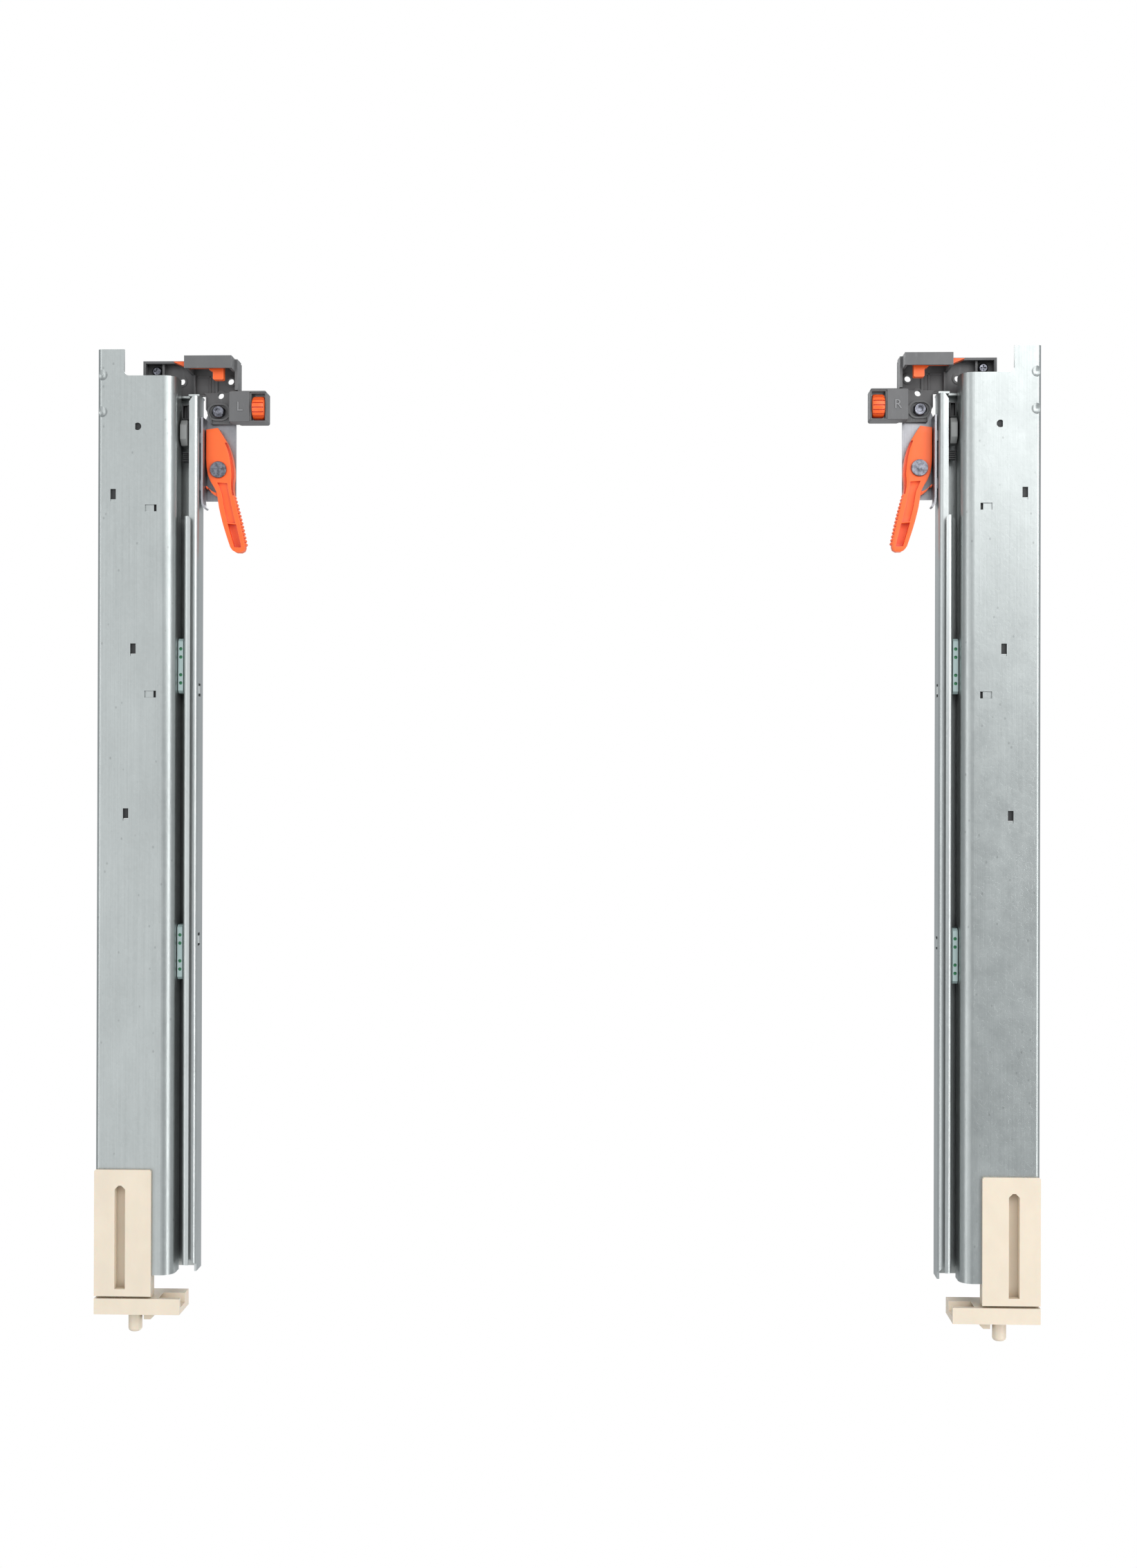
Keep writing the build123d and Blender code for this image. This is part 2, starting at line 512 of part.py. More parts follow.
def release_lever():
    """Lever: head, widening shoulder round the pivot and curved grip with a recess."""
    inner = Spline([(60.2, -217.5), (62.9, -211.4), (65.9, -205.8), (67.2, -197.5), (70.0, -186.0),
                    (73.6, -174.8)])
    outer = Spline([(81.8, -174.2), (80.6, -184.5), (78.2, -195.4), (75.8, -205.5), (75.2, -211.5),
                    (76.2, -219.0)])
    shoulder = Spline([(76.2, -219.0), (75.0, -227.5), (72.6, -234.4), (66.6, -244.6)],
                      tangents=[(0, -1), (-0.5, -0.86)])
    head = Polyline((66.6, -244.6), (59.4, -243.6), (59.4, -226.0), (60.2, -217.5))
    end = ThreePointArc((73.6, -174.8), (78.4, -171.0), (81.8, -174.2))
    outline = make_face([*inner.edges(), *end.edges(), *outer.edges(), *shoulder.edges(), *head.edges()])
    lever = extrude(Pos(0, 0, LEVER_UNDER) * outline, LEVER_TOP - LEVER_UNDER)
    lever -= upright(LEVER_X, LEVER_Y, 3.1, 18, 26)
    lever -= slab([(71.6, -188.6), (75.4, -189.2), (79.6, -176.4), (76.4, -174.8)],
                  18, LEVER_UNDER + 3.4, 0.8)
    lever -= slab([(66.6, -209.4), (71.6, -210.4), (74.6, -190.8), (71.4, -190.2)],
                  18, LEVER_UNDER + 0.7, 0.6)
    return lever


def lock_screw():
    """Pan-head screw in the base's pocket."""
    head = upright(SCREW_X, SCREW_Y, 2.9, 22.6, BASE_FLOOR)
    head = fillet(head.edges().group_by(Axis.Z)[0], 0.8)
    head -= Pos(SCREW_X, SCREW_Y, 22.8) * (Box(3.4, 0.8, 1.6) + Box(0.8, 3.4, 1.6))
    return head + upright(SCREW_X, SCREW_Y, 1.5, BASE_FLOOR - 0.2, DRAWER_TOP - 0.3)


# --- one file per piece, left and right ---------------------------------------------------------------
PIECES = {
    "cabinet_profile": cabinet_profile(),
    "rear_bracket": rear_bracket(),
    "damper_housing": damper_housing(),
    "damper_cylinder": damper_cylinder(),
    "closing_spring": closing_spring(),
    "piston_rod": piston_rod(),
    "closing_catch": closing_catch(),
    "middle_profile": middle_profile(),
    "middle_buffer": middle_buffer(),
    "drawer_profile": drawer_profile(),
    "front_buffer": front_buffer(),
    "rear_hook": rear_hook(),
    "catch_pin": catch_pin(),
    "hook_plate": hook_plate(),
    "lock_rivets": lock_rivets(),
    "lock_base": lock_base(),
    "adjuster_housing": adjuster_housing(),
    "thumbwheel": thumbwheel(),
    "height_wedge": height_wedge(),
    "release_lever": release_lever(),
    "lock_screw": lock_screw(),
}
for end, centre in LOWER_CAGES.items():
    PIECES[f"lower_{end}_cage"] = lower_cage(centre)
    PIECES[f"lower_{end}_rollers"] = lower_rollers(centre)
for end, centre in UPPER_CAGES.items():
    PIECES[f"upper_{end}_cage"] = upper_cage(centre)
    PIECES[f"upper_{end}_rollers"] = upper_rollers(centre)

os.makedirs("parts", exist_ok=True)
for name, piece in PIECES.items():
    left = Pos(-OPENING / 2, 0, SOCKET_PLATE) * piece
    export_step(left, f"parts/left_{name}.step")
    export_step(left.mirror(Plane.YZ), f"parts/right_{name}.step")
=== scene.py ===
"""Studio model of a matched pair of concealed, soft-closing drawer slides.

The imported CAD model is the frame. The classes below give every CAD piece its finish, replace the
pieces that need finer shapes, and set up the studio. Lengths are in metres, in the frame's axes:
+Z up as installed, -Y towards the drawer's front, the pair centred on X.
"""

import logging
import math
from collections.abc import Callable, Iterable, Sequence
from dataclasses import dataclass, field
from enum import Enum

import bmesh
import bpy
from mathutils import Matrix, Vector


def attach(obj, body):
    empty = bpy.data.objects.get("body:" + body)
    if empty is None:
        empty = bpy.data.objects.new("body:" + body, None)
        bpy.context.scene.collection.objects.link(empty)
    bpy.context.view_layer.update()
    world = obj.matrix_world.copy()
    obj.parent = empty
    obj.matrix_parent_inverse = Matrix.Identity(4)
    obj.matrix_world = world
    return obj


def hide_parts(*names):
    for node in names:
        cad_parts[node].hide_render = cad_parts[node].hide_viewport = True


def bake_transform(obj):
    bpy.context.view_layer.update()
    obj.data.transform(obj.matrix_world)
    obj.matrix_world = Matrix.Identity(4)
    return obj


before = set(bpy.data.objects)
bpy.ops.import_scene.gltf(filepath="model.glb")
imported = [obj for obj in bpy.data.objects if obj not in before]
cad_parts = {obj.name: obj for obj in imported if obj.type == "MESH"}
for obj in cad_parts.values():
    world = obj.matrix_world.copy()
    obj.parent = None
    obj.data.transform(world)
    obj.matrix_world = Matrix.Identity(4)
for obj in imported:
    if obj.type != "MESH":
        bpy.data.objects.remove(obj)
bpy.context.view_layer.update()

log = logging.getLogger("drawer_slide")

MM = 0.001
WALL_X = -0.273      # left cabinet wall in the pair's frame
PROFILE_Z = 0.002    # underside of the cabinet profile above the brackets' plates
SMOOTH_ANGLE = 32.0  # degrees up to which an edge is shaded smooth

Colour = tuple[float, float, float]
Point = tuple[float, float, float]


class Side(Enum):
    """The two slides of the pair."""

    LEFT = "left"
    RIGHT = "right"

    def node(self, piece: str) -> str:
        """Full name of this side's CAD node or body."""
        return f"{self.value}_{piece}"


class Grain(Enum):
    """How a sheet's surface was worked."""

    ROLLED = (1.0, 1.0, 1.0)
    BRUSHED = (1.0, 0.012, 1.0)


def place(u: float, y: float, z: float) -> Vector:
    """Point of the left slide.

    Args:
        u: millimetres inwards from the cabinet wall.
        y: millimetres along the slide.
        z: millimetres above the cabinet profile's underside.

    Returns:
        The point in the row frame, in metres.
    """
    return Vector((WALL_X + u * MM, y * MM, PROFILE_Z + z * MM))


# --- finishes ---------------------------------------------------------------------------------


class Recipe:
    """Wires the nodes of one procedural material."""

    def __init__(self, name: str) -> None:
        """Starts a material with an empty Principled shader.

        Args:
            name: the material's name.
        """
        self.material = bpy.data.materials.new(name)
        self.material.use_nodes = True
        self.tree = self.material.node_tree
        self.tree.nodes.clear()
        self.shader = self.tree.nodes.new("ShaderNodeBsdfPrincipled")
        output = self.tree.nodes.new("ShaderNodeOutputMaterial")
        self.tree.links.new(self.shader.outputs["BSDF"], output.inputs["Surface"])
        self.place = self.tree.nodes.new("ShaderNodeTexCoord").outputs["Object"]

    def stretched(self, stretch: Point) -> bpy.types.NodeSocket:
        """Object coordinates scaled by a different amount along each axis.

        Args:
            stretch: scale along X, Y and Z.

        Returns:
            The vector socket.
        """
        node = self.tree.nodes.new("ShaderNodeMapping")
        node.inputs["Scale"].default_value = stretch
        self.tree.links.new(self.place, node.inputs["Vector"])
        return node.outputs["Vector"]

    def noise(self, scale: float, stretch: Point = (1, 1, 1), detail: float = 3.0,
              roughness: float = 0.5) -> bpy.types.NodeSocket:
        """Fractal noise, `scale` features to the metre.

        Args:
            scale: features to the metre.
            stretch: scale along X, Y and Z.
            detail: octaves.
            roughness: share of the finer octaves.

        Returns:
            The value, 0 to 1.
        """
        node = self.tree.nodes.new("ShaderNodeTexNoise")
        node.inputs["Scale"].default_value = scale
        node.inputs["Detail"].default_value = detail
        node.inputs["Roughness"].default_value = roughness
        self.tree.links.new(self.stretched(stretch), node.inputs["Vector"])
        return node.outputs["Fac"]

    def cells(self, scale: float, stretch: Point = (1, 1, 1)) -> bpy.types.NodeSocket:
        """Distance to the nearest of scattered points, `scale` cells to the metre.

        Args:
            scale: cells to the metre.
            stretch: scale along X, Y and Z.

        Returns:
            The distance.
        """
        node = self.tree.nodes.new("ShaderNodeTexVoronoi")
        node.inputs["Scale"].default_value = scale
        self.tree.links.new(self.stretched(stretch), node.inputs["Vector"])
        return node.outputs["Distance"]

    def crystals(self, scale: float) -> bpy.types.NodeSocket:
        """A random grey for each of scattered cells.

        Args:
            scale: cells to the metre.

        Returns:
            The grey.
        """
        node = self.tree.nodes.new("ShaderNodeTexVoronoi")
        node.inputs["Scale"].default_value = scale
        self.tree.links.new(self.place, node.inputs["Vector"])
        grey = self.tree.nodes.new("ShaderNodeRGBToBW")
        self.tree.links.new(node.outputs["Color"], grey.inputs["Color"])
        return grey.outputs["Val"]

    def ranged(self, value: bpy.types.NodeSocket, low: float, high: float,
               to_low: float = 0.0, to_high: float = 1.0) -> bpy.types.NodeSocket:
        """The value mapped from one range to another, clamped.

        Args:
            value: what is mapped.
            low: value that becomes to_low.
            high: value that becomes to_high.
            to_low: result at low.
            to_high: result at high.

        Returns:
            The result.
        """
        node = self.tree.nodes.new("ShaderNodeMapRange")
        node.inputs["From Min"].default_value = low
        node.inputs["From Max"].default_value = high
        node.inputs["To Min"].default_value = to_low
        node.inputs["To Max"].default_value = to_high
        self.tree.links.new(value, node.inputs["Value"])
        return node.outputs["Result"]

    def blend(self, amount: bpy.types.NodeSocket, first: Colour | bpy.types.NodeSocket,
              second: Colour | bpy.types.NodeSocket) -> bpy.types.NodeSocket:
        """First colour where amount is 0, second where it is 1.

        Args:
            amount: share of the second colour.
            first: colour or socket.
            second: colour or socket.

        Returns:
            The blended colour.
        """
        node = self.tree.nodes.new("ShaderNodeMix")
        node.data_type = "RGBA"
        self.tree.links.new(amount, node.inputs["Factor"])
        for socket, colour in ((node.inputs[6], first), (node.inputs[7], second)):
            if isinstance(colour, tuple):
                socket.default_value = (*colour, 1.0)
            else:
                self.tree.links.new(colour, socket)
        return node.outputs[2]

    def combined(self, operation: str, first: bpy.types.NodeSocket,
                 second: bpy.types.NodeSocket | float) -> bpy.types.NodeSocket:
        """Two values joined by a Math node.

        Args:
            operation: the node's operation.
            first: a socket.
            second: a socket or a number.

        Returns:
            The result.
        """
        node = self.tree.nodes.new("ShaderNodeMath")
        node.operation = operation
        self.tree.links.new(first, node.inputs[0])
        if isinstance(second, float):
            node.inputs[1].default_value = second
        else:
            self.tree.links.new(second, node.inputs[1])
        return node.outputs[0]

    def shelter(self, reach: float, clear: float) -> bpy.types.NodeSocket:
        """How deep in a gap the surface lies.

        Args:
            reach: metres over which a neighbour darkens it.
            clear: share of open sky from which the surface counts as open.

        Returns:
            The share of painted shade.
        """
        node = self.tree.nodes.new("ShaderNodeAmbientOcclusion")
        node.samples = 6
        node.inputs["Distance"].default_value = reach
        return self.ranged(node.outputs["AO"], 0.06, clear, 1.0, 0.0)

    def edges(self, width: float) -> bpy.types.NodeSocket:
        """Where the surface turns over an edge.

        Args:
            width: metres from the edge that count as edge.

        Returns:
            1 on the edge, 0 on the faces.
        """
        rounded = self.tree.nodes.new("ShaderNodeBevel")
        rounded.samples = 4
        rounded.inputs["Radius"].default_value = width
        flat = self.tree.nodes.new("ShaderNodeNewGeometry")
        match = self.tree.nodes.new("ShaderNodeVectorMath")
        match.operation = "DOT_PRODUCT"
        self.tree.links.new(rounded.outputs["Normal"], match.inputs[0])
        self.tree.links.new(flat.outputs["Normal"], match.inputs[1])
        return self.ranged(match.outputs["Value"], 0.8, 0.99, 1.0, 0.0)

    def relief(self, height: bpy.types.NodeSocket, depth: float, strength: float) -> None:
        """Bumps the surface by a height map.

        Args:
            height: the map, 0 to 1.
            depth: metres between its lowest and highest values.
            strength: share of the full effect.
        """
        node = self.tree.nodes.new("ShaderNodeBump")
        node.inputs["Strength"].default_value = strength
        node.inputs["Distance"].default_value = depth
        self.tree.links.new(height, node.inputs["Height"])
        self.tree.links.new(node.outputs["Normal"], self.shader.inputs["Normal"])

    def colour(self, socket: bpy.types.NodeSocket) -> None:
        """Feeds the base colour."""
        self.tree.links.new(socket, self.shader.inputs["Base Color"])

    def roughness(self, socket: bpy.types.NodeSocket) -> None:
        """Feeds the roughness."""
        self.tree.links.new(socket, self.shader.inputs["Roughness"])

    def constant(self, **values: float) -> None:
        """Sets the shader's own sockets, named with underscores for spaces."""
        for name, value in values.items():
            self.shader.inputs[name.replace("_", " ")].default_value = value


def shaded(colour: Colour, factor: float) -> Colour:
    """A colour made lighter or darker."""
    return tuple(min(1.0, part * factor) for part in colour)


@dataclass(frozen=True)
class SheetFinish:
    """Zinc-coated sheet: clouded coat, rolling lines, tiny crystals, dark specks, painted edge
    highlights and painted shade in gaps.
    """

    name: str
    colour: Colour
    grain: Grain = Grain.ROLLED
    metallic: float = 0.9
    roughness: float = 0.4
    cloud: float = 0.06           # how far the coat's clouds leave its colour
    lines: float = 0.06           # strength of the rolling lines
    specks: float = 0.35          # strength of the dark specks
    spangle: float = 0.16         # strength of the zinc crystals
    relief: float = 0.00004       # metres
    cloud_scale: float = 34.0     # features to the metre, as all scales here
    line_scale: float = 1500.0
    crystal_scale: float = 620.0
    speck_scale: float = 150.0
    wear_scale: float = 90.0
    relief_scale: float = 900.0
    drawn_out: Point = (1, 0.006, 1)
    edge: float = 0.7             # how bright the painted highlight on edges is
    edge_width: float = 0.0004    # metres
    gap_reach: float = 0.01       # metres over which the painted shade in gaps reaches
    gap_clear: float = 0.45

    def make(self) -> bpy.types.Material:
        """Builds the material.

        Returns:
            The finished material.
        """
        recipe = Recipe(self.name)
        clouds = recipe.noise(self.cloud_scale, (1, 0.5, 1), 5.0, 0.6)
        coat = recipe.blend(recipe.ranged(clouds, 0.34, 0.68), shaded(self.colour, 1 - self.cloud),
                            shaded(self.colour, 1 + self.cloud))
        drawn = recipe.noise(self.line_scale, self.drawn_out, 2.0)
        lined = recipe.blend(recipe.ranged(drawn, 0.4, 0.66, 0.0, self.lines * 4), coat,
                             shaded(self.colour, 0.8))
        crystal = recipe.crystals(self.crystal_scale)
        spangled = recipe.blend(recipe.ranged(crystal, 0.2, 0.9, 0.0, self.spangle), lined,
                                shaded(self.colour, 1.2))
        spots = recipe.cells(self.speck_scale, (1, 0.7, 1))
        spotted = recipe.blend(recipe.ranged(spots, 0.05, 0.11, self.specks, 0.0), spangled,
                               shaded(self.colour, 0.35))
        # Painted highlight: edges blended towards a brighter copy of the colour.
        bright = recipe.ranged(recipe.edges(self.edge_width), 0.0, 1.0, 0.0, self.edge)
        edge_highlighted = recipe.blend(bright, spotted, shaded(self.colour, 1.35))
        # Painted shade: the colour darkened towards 0.4 of itself where neighbours close in,
        # standing in for shade in gaps.
        painted_gap_shade = recipe.shelter(self.gap_reach, self.gap_clear)
        recipe.colour(recipe.blend(painted_gap_shade, edge_highlighted, shaded(self.colour, 0.4)))
        worn = recipe.noise(self.wear_scale, self.grain.value, 4.0, 0.65)
        recipe.roughness(recipe.ranged(worn, 0.3, 0.7, self.roughness - 0.03,
                                       self.roughness + 0.05))
        grit = recipe.noise(self.relief_scale, (1, 0.25, 1), 3.0)
        recipe.relief(recipe.combined("ADD", grit, crystal), self.relief, 0.5)
        recipe.constant(Metallic=self.metallic, Specular_IOR_Level=0.5)
        return recipe.material


@dataclass(frozen=True)
class TurnedFinish:
    """Turned or drawn steel: fine tool marks and a thin tarnish."""

    name: str
    colour: Colour
    roughness: float = 0.3
    metallic: float = 1.0
    tarnish: float = 0.25         # how much darker the tarnish is
    film_scale: float = 520.0     # features to the metre
    mark_scale: float = 3200.0
    relief: float = 0.00002       # metres

    def make(self) -> bpy.types.Material:
        """Builds the material.

        Returns:
            The finished material.
        """
        recipe = Recipe(self.name)
        film = recipe.noise(self.film_scale, (1, 1, 1), 4.0, 0.65)
        recipe.colour(recipe.blend(recipe.ranged(film, 0.4, 0.6), self.colour,
                                   shaded(self.colour, 1 - self.tarnish)))
        marks = recipe.noise(self.mark_scale, (1, 1, 0.2), 2.0)
        recipe.roughness(recipe.ranged(marks, 0.3, 0.7, self.roughness - 0.07,
                                       self.roughness + 0.12))
        recipe.relief(marks, self.relief, 0.4)
        recipe.constant(Metallic=self.metallic)
        return recipe.material


@dataclass(frozen=True)
class MouldedFinish:
    """Injection-moulded plastic: flow clouds, scuffs, a fine spark-eroded texture, pale edges and
    painted shade in recesses.
    """

    name: str
    colour: Colour
    roughness: float = 0.45
    cloud: float = 0.07           # how far the flow clouds leave the colour
    scuff: float = 0.10           # strength of the scuffs
    texture: float = 0.00003      # metres
    glow: float = 0.0             # share of light that enters the plastic
    edge: float = 0.45            # how pale the edges are: partly rubbed wear, partly a painted highlight
    edge_width: float = 0.00035   # metres
    flow_scale: float = 70.0      # features to the metre
    rub_scale: float = 420.0
    texture_scale: float = 2600.0
    gap_reach: float = 0.006      # metres over which the painted shade in recesses reaches
    gap_clear: float = 0.72
    rubbed_grey: float = 0.75

    def make(self) -> bpy.types.Material:
        """Builds the material.

        Returns:
            The finished material.
        """
        recipe = Recipe(self.name)
        flow = recipe.noise(self.flow_scale, (1, 0.6, 1), 4.0, 0.55)
        clouded = recipe.blend(recipe.ranged(flow, 0.34, 0.68),
                               shaded(self.colour, 1 - self.cloud),
                               shaded(self.colour, 1 + self.cloud))
        rub = recipe.noise(self.rub_scale, (1, 0.22, 1), 5.0, 0.7)
        pale = tuple(part + (self.rubbed_grey - part) * 0.35 for part in self.colour)
        scuffed = recipe.blend(recipe.ranged(rub, 0.6, 0.82, 0.0, self.scuff * 3), clouded, pale)
        # Edges paled: partly rubbed wear, partly a painted highlight.
        rim = recipe.ranged(recipe.edges(self.edge_width), 0.0, 1.0, 0.0, self.edge)
        edge_lit_and_rubbed = recipe.blend(rim, scuffed, pale)
        # Painted shade: recesses darkened and saturated towards the colour raised to a power,
        # standing in for shade and bounced light.
        painted_shade_colour = tuple(0.75 * part ** 1.6 for part in self.colour)
        painted_recess_shade = recipe.shelter(self.gap_reach, self.gap_clear)
        recipe.colour(recipe.blend(painted_recess_shade, edge_lit_and_rubbed, painted_shade_colour))
        recipe.roughness(recipe.ranged(rub, 0.3, 0.75, self.roughness + 0.08,
                                       self.roughness - 0.08))
        recipe.relief(recipe.noise(self.texture_scale, (1, 1, 1), 2.0), self.texture, 0.45)
        recipe.constant(Subsurface_Weight=self.glow, Subsurface_Scale=0.002)
        return recipe.material


class Finishes:
    """One finish for each of the record's material slots, and a lighter one for raised marks:
    partly rubbed wear, partly a painted highlight.
    """

    RECIPES = {
        "galvanised_sheet": SheetFinish("galvanised_sheet", (0.41, 0.435, 0.43), roughness=0.34,
                                        lines=0.09),
        "runner_sheet": SheetFinish("runner_sheet", (0.49, 0.515, 0.51), Grain.BRUSHED,
                                    roughness=0.34, specks=0.15, lines=0.1),
        "turned_steel": TurnedFinish("turned_steel", (0.22, 0.225, 0.26), 0.3, tarnish=0.55),
        "dark_zinc": SheetFinish("dark_zinc", (0.33, 0.33, 0.35), Grain.BRUSHED, roughness=0.36,
                                 cloud=0.2, lines=0.12, specks=0.2),
        "spring_wire": TurnedFinish("spring_wire", (0.5, 0.5, 0.51), 0.28),
        "dark_grey_plastic": MouldedFinish("dark_grey_plastic", (0.118, 0.118, 0.12), 0.5),
        "grey_plastic": MouldedFinish("grey_plastic", (0.20, 0.205, 0.20), 0.45),
        "black_plastic": MouldedFinish("black_plastic", (0.018, 0.019, 0.02), 0.42),
        "orange_plastic": MouldedFinish("orange_plastic", (0.93, 0.13, 0.017), 0.38, cloud=0.04,
                                        scuff=0.03, glow=0.06),
        "green_plastic": MouldedFinish("green_plastic", (0.10, 0.52, 0.25), 0.36),
        "cage_plastic": MouldedFinish("cage_plastic", (0.36, 0.46, 0.45), 0.45),
        # Lighter grey: partly rubbed wear, partly a painted highlight that makes the raised
        # letters stand out.
        "raised_mark": MouldedFinish("raised_mark", (0.21, 0.21, 0.215), 0.5),
        "cream_plastic": MouldedFinish("cream_plastic", (0.72, 0.625, 0.50), 0.42, cloud=0.03,
                                       scuff=0.03, glow=0.15),
    }

    def __init__(self) -> None:
        """Makes every material once."""
        self.materials = {slot: recipe.make() for slot, recipe in self.RECIPES.items()}

    def dress(self, piece: bpy.types.Object, slot: str, finish: str = "") -> bpy.types.Object:
        """Gives a new piece its finish.

        Args:
            piece: the new piece.
            slot: the record's material slot.
            finish: another finish of the same material, where the piece has one.

        Returns:
            The piece.
        """
        piece.data.materials.clear()
        piece.data.materials.append(self.materials[finish or slot])
        return piece


@dataclass
class FrameDressing:
    """Puts the finishes on the CAD pieces."""

    finishes: Finishes
    slots: dict[str, str] = field(default_factory=lambda: {
        "cabinet_profile": "galvanised_sheet",
        "rear_bracket": "cream_plastic",
        "damper_housing": "black_plastic",
        "damper_cylinder": "turned_steel",
        "closing_spring": "spring_wire",
        "piston_rod": "turned_steel",
        "closing_catch": "black_plastic",
        "lower_front_cage": "cage_plastic",
        "lower_rear_cage": "cage_plastic",
        "upper_front_cage": "cage_plastic",
        "upper_rear_cage": "cage_plastic",
        "lower_front_rollers": "green_plastic",
        "lower_rear_rollers": "green_plastic",
        "upper_front_rollers": "green_plastic",
        "upper_rear_rollers": "green_plastic",
        "middle_profile": "runner_sheet",
        "middle_buffer": "black_plastic",
        "drawer_profile": "runner_sheet",
        "front_buffer": "grey_plastic",
        "rear_hook": "runner_sheet",
        "catch_pin": "turned_steel",
        "hook_plate": "dark_zinc",
        "lock_rivets": "turned_steel",
        "lock_base": "dark_grey_plastic",
        "adjuster_housing": "dark_grey_plastic",
        "thumbwheel": "orange_plastic",
        "height_wedge": "orange_plastic",
        "release_lever": "orange_plastic",
        "lock_screw": "turned_steel",
    })

    def dress(self) -> None:
        """Gives each CAD node of both sides its finish."""
        for side in Side:
            for piece, slot in self.slots.items():
                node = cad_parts[side.node(piece)]
                node.data.materials.clear()
                node.data.materials.append(self.finishes.materials[slot])
        log.info("frame: %d pieces dressed", 2 * len(self.slots))


# --- modelling bench --------------------------------------------------------------------------


class Bench:
    """Edit-mode steps that every new piece is made with."""

    @staticmethod
    def clear() -> None:
        """Leaves edit mode with nothing selected."""
        if bpy.context.object and bpy.context.object.mode != "OBJECT":
            bpy.ops.object.mode_set(mode="OBJECT")
        bpy.ops.object.select_all(action="DESELECT")

    @classmethod
    def activate(cls, piece: bpy.types.Object) -> None:
        """Selects one piece alone and makes it the active one."""
        cls.clear()
        piece.select_set(True)
        bpy.context.view_layer.objects.active = piece

    @classmethod
    def smooth(cls, piece: bpy.types.Object, angle: float = SMOOTH_ANGLE) -> bpy.types.Object:
        """Smooths the shading over every edge flatter than an angle.

        Args:
            piece: the piece.
            angle: degrees.

        Returns:
            The same piece.
        """
        cls.activate(piece)
        bpy.ops.object.shade_smooth_by_angle(angle=math.radians(angle))
        return piece

    @staticmethod
    def named(name: str) -> bpy.types.Object:
        """Names the new primitive and puts its place into its mesh.

        Args:
            name: the piece's name.

        Returns:
            The piece, its object at the origin.
        """
        piece = bpy.context.active_object
        piece.name = name
        piece.data.name = name
        bpy.ops.object.transform_apply(location=True, rotation=True, scale=True)
        return piece

    @classmethod
    def block(cls, name: str, low: Vector, high: Vector) -> bpy.types.Object:
        """A cube primitive stretched between two corners.

        Args:
            name: the piece's name.
            low: lowest corner.
            high: highest corner.

        Returns:
            The piece.
        """
        cls.clear()
        bpy.ops.mesh.primitive_cube_add(size=1, location=(low + high) / 2, scale=high - low)
        return cls.named(name)

    @classmethod
    def drum(cls, name: str, centre: Vector, radius: float, depth: float, sides: int,
             turn: Point = (0, 0, 0)) -> bpy.types.Object:
        """A cylinder primitive, along Z unless turned.

        Args:
            name: the piece's name.
            centre: its middle.
            radius: metres.
            depth: metres.
            sides: faces round it.
            turn: rotation about X, Y and Z in radians.

        Returns:
            The piece.
        """
        cls.clear()
        bpy.ops.mesh.primitive_cylinder_add(vertices=sides, radius=radius, depth=depth,
                                            location=centre, rotation=turn)
        return cls.named(name)

    @classmethod
    def select(cls, piece: bpy.types.Object, kind: str, test: Callable) -> int:
        """Selects vertices, edges or faces in edit mode.

        Args:
            piece: the piece to edit.
            kind: VERT, EDGE or FACE.
            test: says of each element whether it is wanted.

        Returns:
            How many were selected.
        """
        if piece.mode != "EDIT":
            cls.activate(piece)
            bpy.ops.object.mode_set(mode="EDIT")
        bpy.ops.mesh.select_mode(type=kind)
        bpy.ops.mesh.select_all(action="DESELECT")
        mesh = bmesh.from_edit_mesh(piece.data)
        parts = {"VERT": mesh.verts, "EDGE": mesh.edges, "FACE": mesh.faces}[kind]
        wanted = [part for part in parts if test(part)]
        for part in wanted:
            part.select_set(True)
        mesh.select_flush_mode()
        bmesh.update_edit_mesh(piece.data)
        return len(wanted)

    @staticmethod
    def move(step: Vector) -> None:
        """Moves what is selected."""
        bpy.ops.transform.translate(value=step)

    @staticmethod
    def extrude(step: Vector) -> None:
        """Extrudes the selected region by a step."""
        bpy.ops.mesh.extrude_region_move(TRANSFORM_OT_translate={"value": step})

    @classmethod
    def ribbon(cls, name: str, rows: Sequence[Sequence[tuple[float, float]]], low: float,
               high: float) -> bpy.types.Object:
        """A slab whose plan is a grid with every vertex moved to its place.

        Args:
            name: the piece's name.
            rows: stations along the piece, each a list of (u, y) across it, in millimetres.
            low: underside in millimetres.
            high: top in millimetres.

        Returns:
            The piece, closed, with its normals outwards.
        """
        cls.clear()
        across, along = len(rows[0]), len(rows)
        bpy.ops.mesh.primitive_grid_add(x_subdivisions=across - 1, y_subdivisions=along - 1,
                                        size=1, location=(0, 0, 0))
        piece = cls.named(name)
        for index, spot in enumerate(spot for row in rows for spot in row):
            start = piece.data.vertices[index].co.copy()
            cls.select(piece, "VERT", lambda vertex, wanted=index: vertex.index == wanted)
            cls.move(place(*spot, low) - start)
            bpy.ops.object.mode_set(mode="OBJECT")
        cls.select(piece, "FACE", lambda face: True)
        cls.extrude(Vector((0, 0, (high - low) * MM)))
        bpy.ops.mesh.select_all(action="SELECT")
        bpy.ops.mesh.normals_make_consistent(inside=False)
        cls.clear()
        return piece

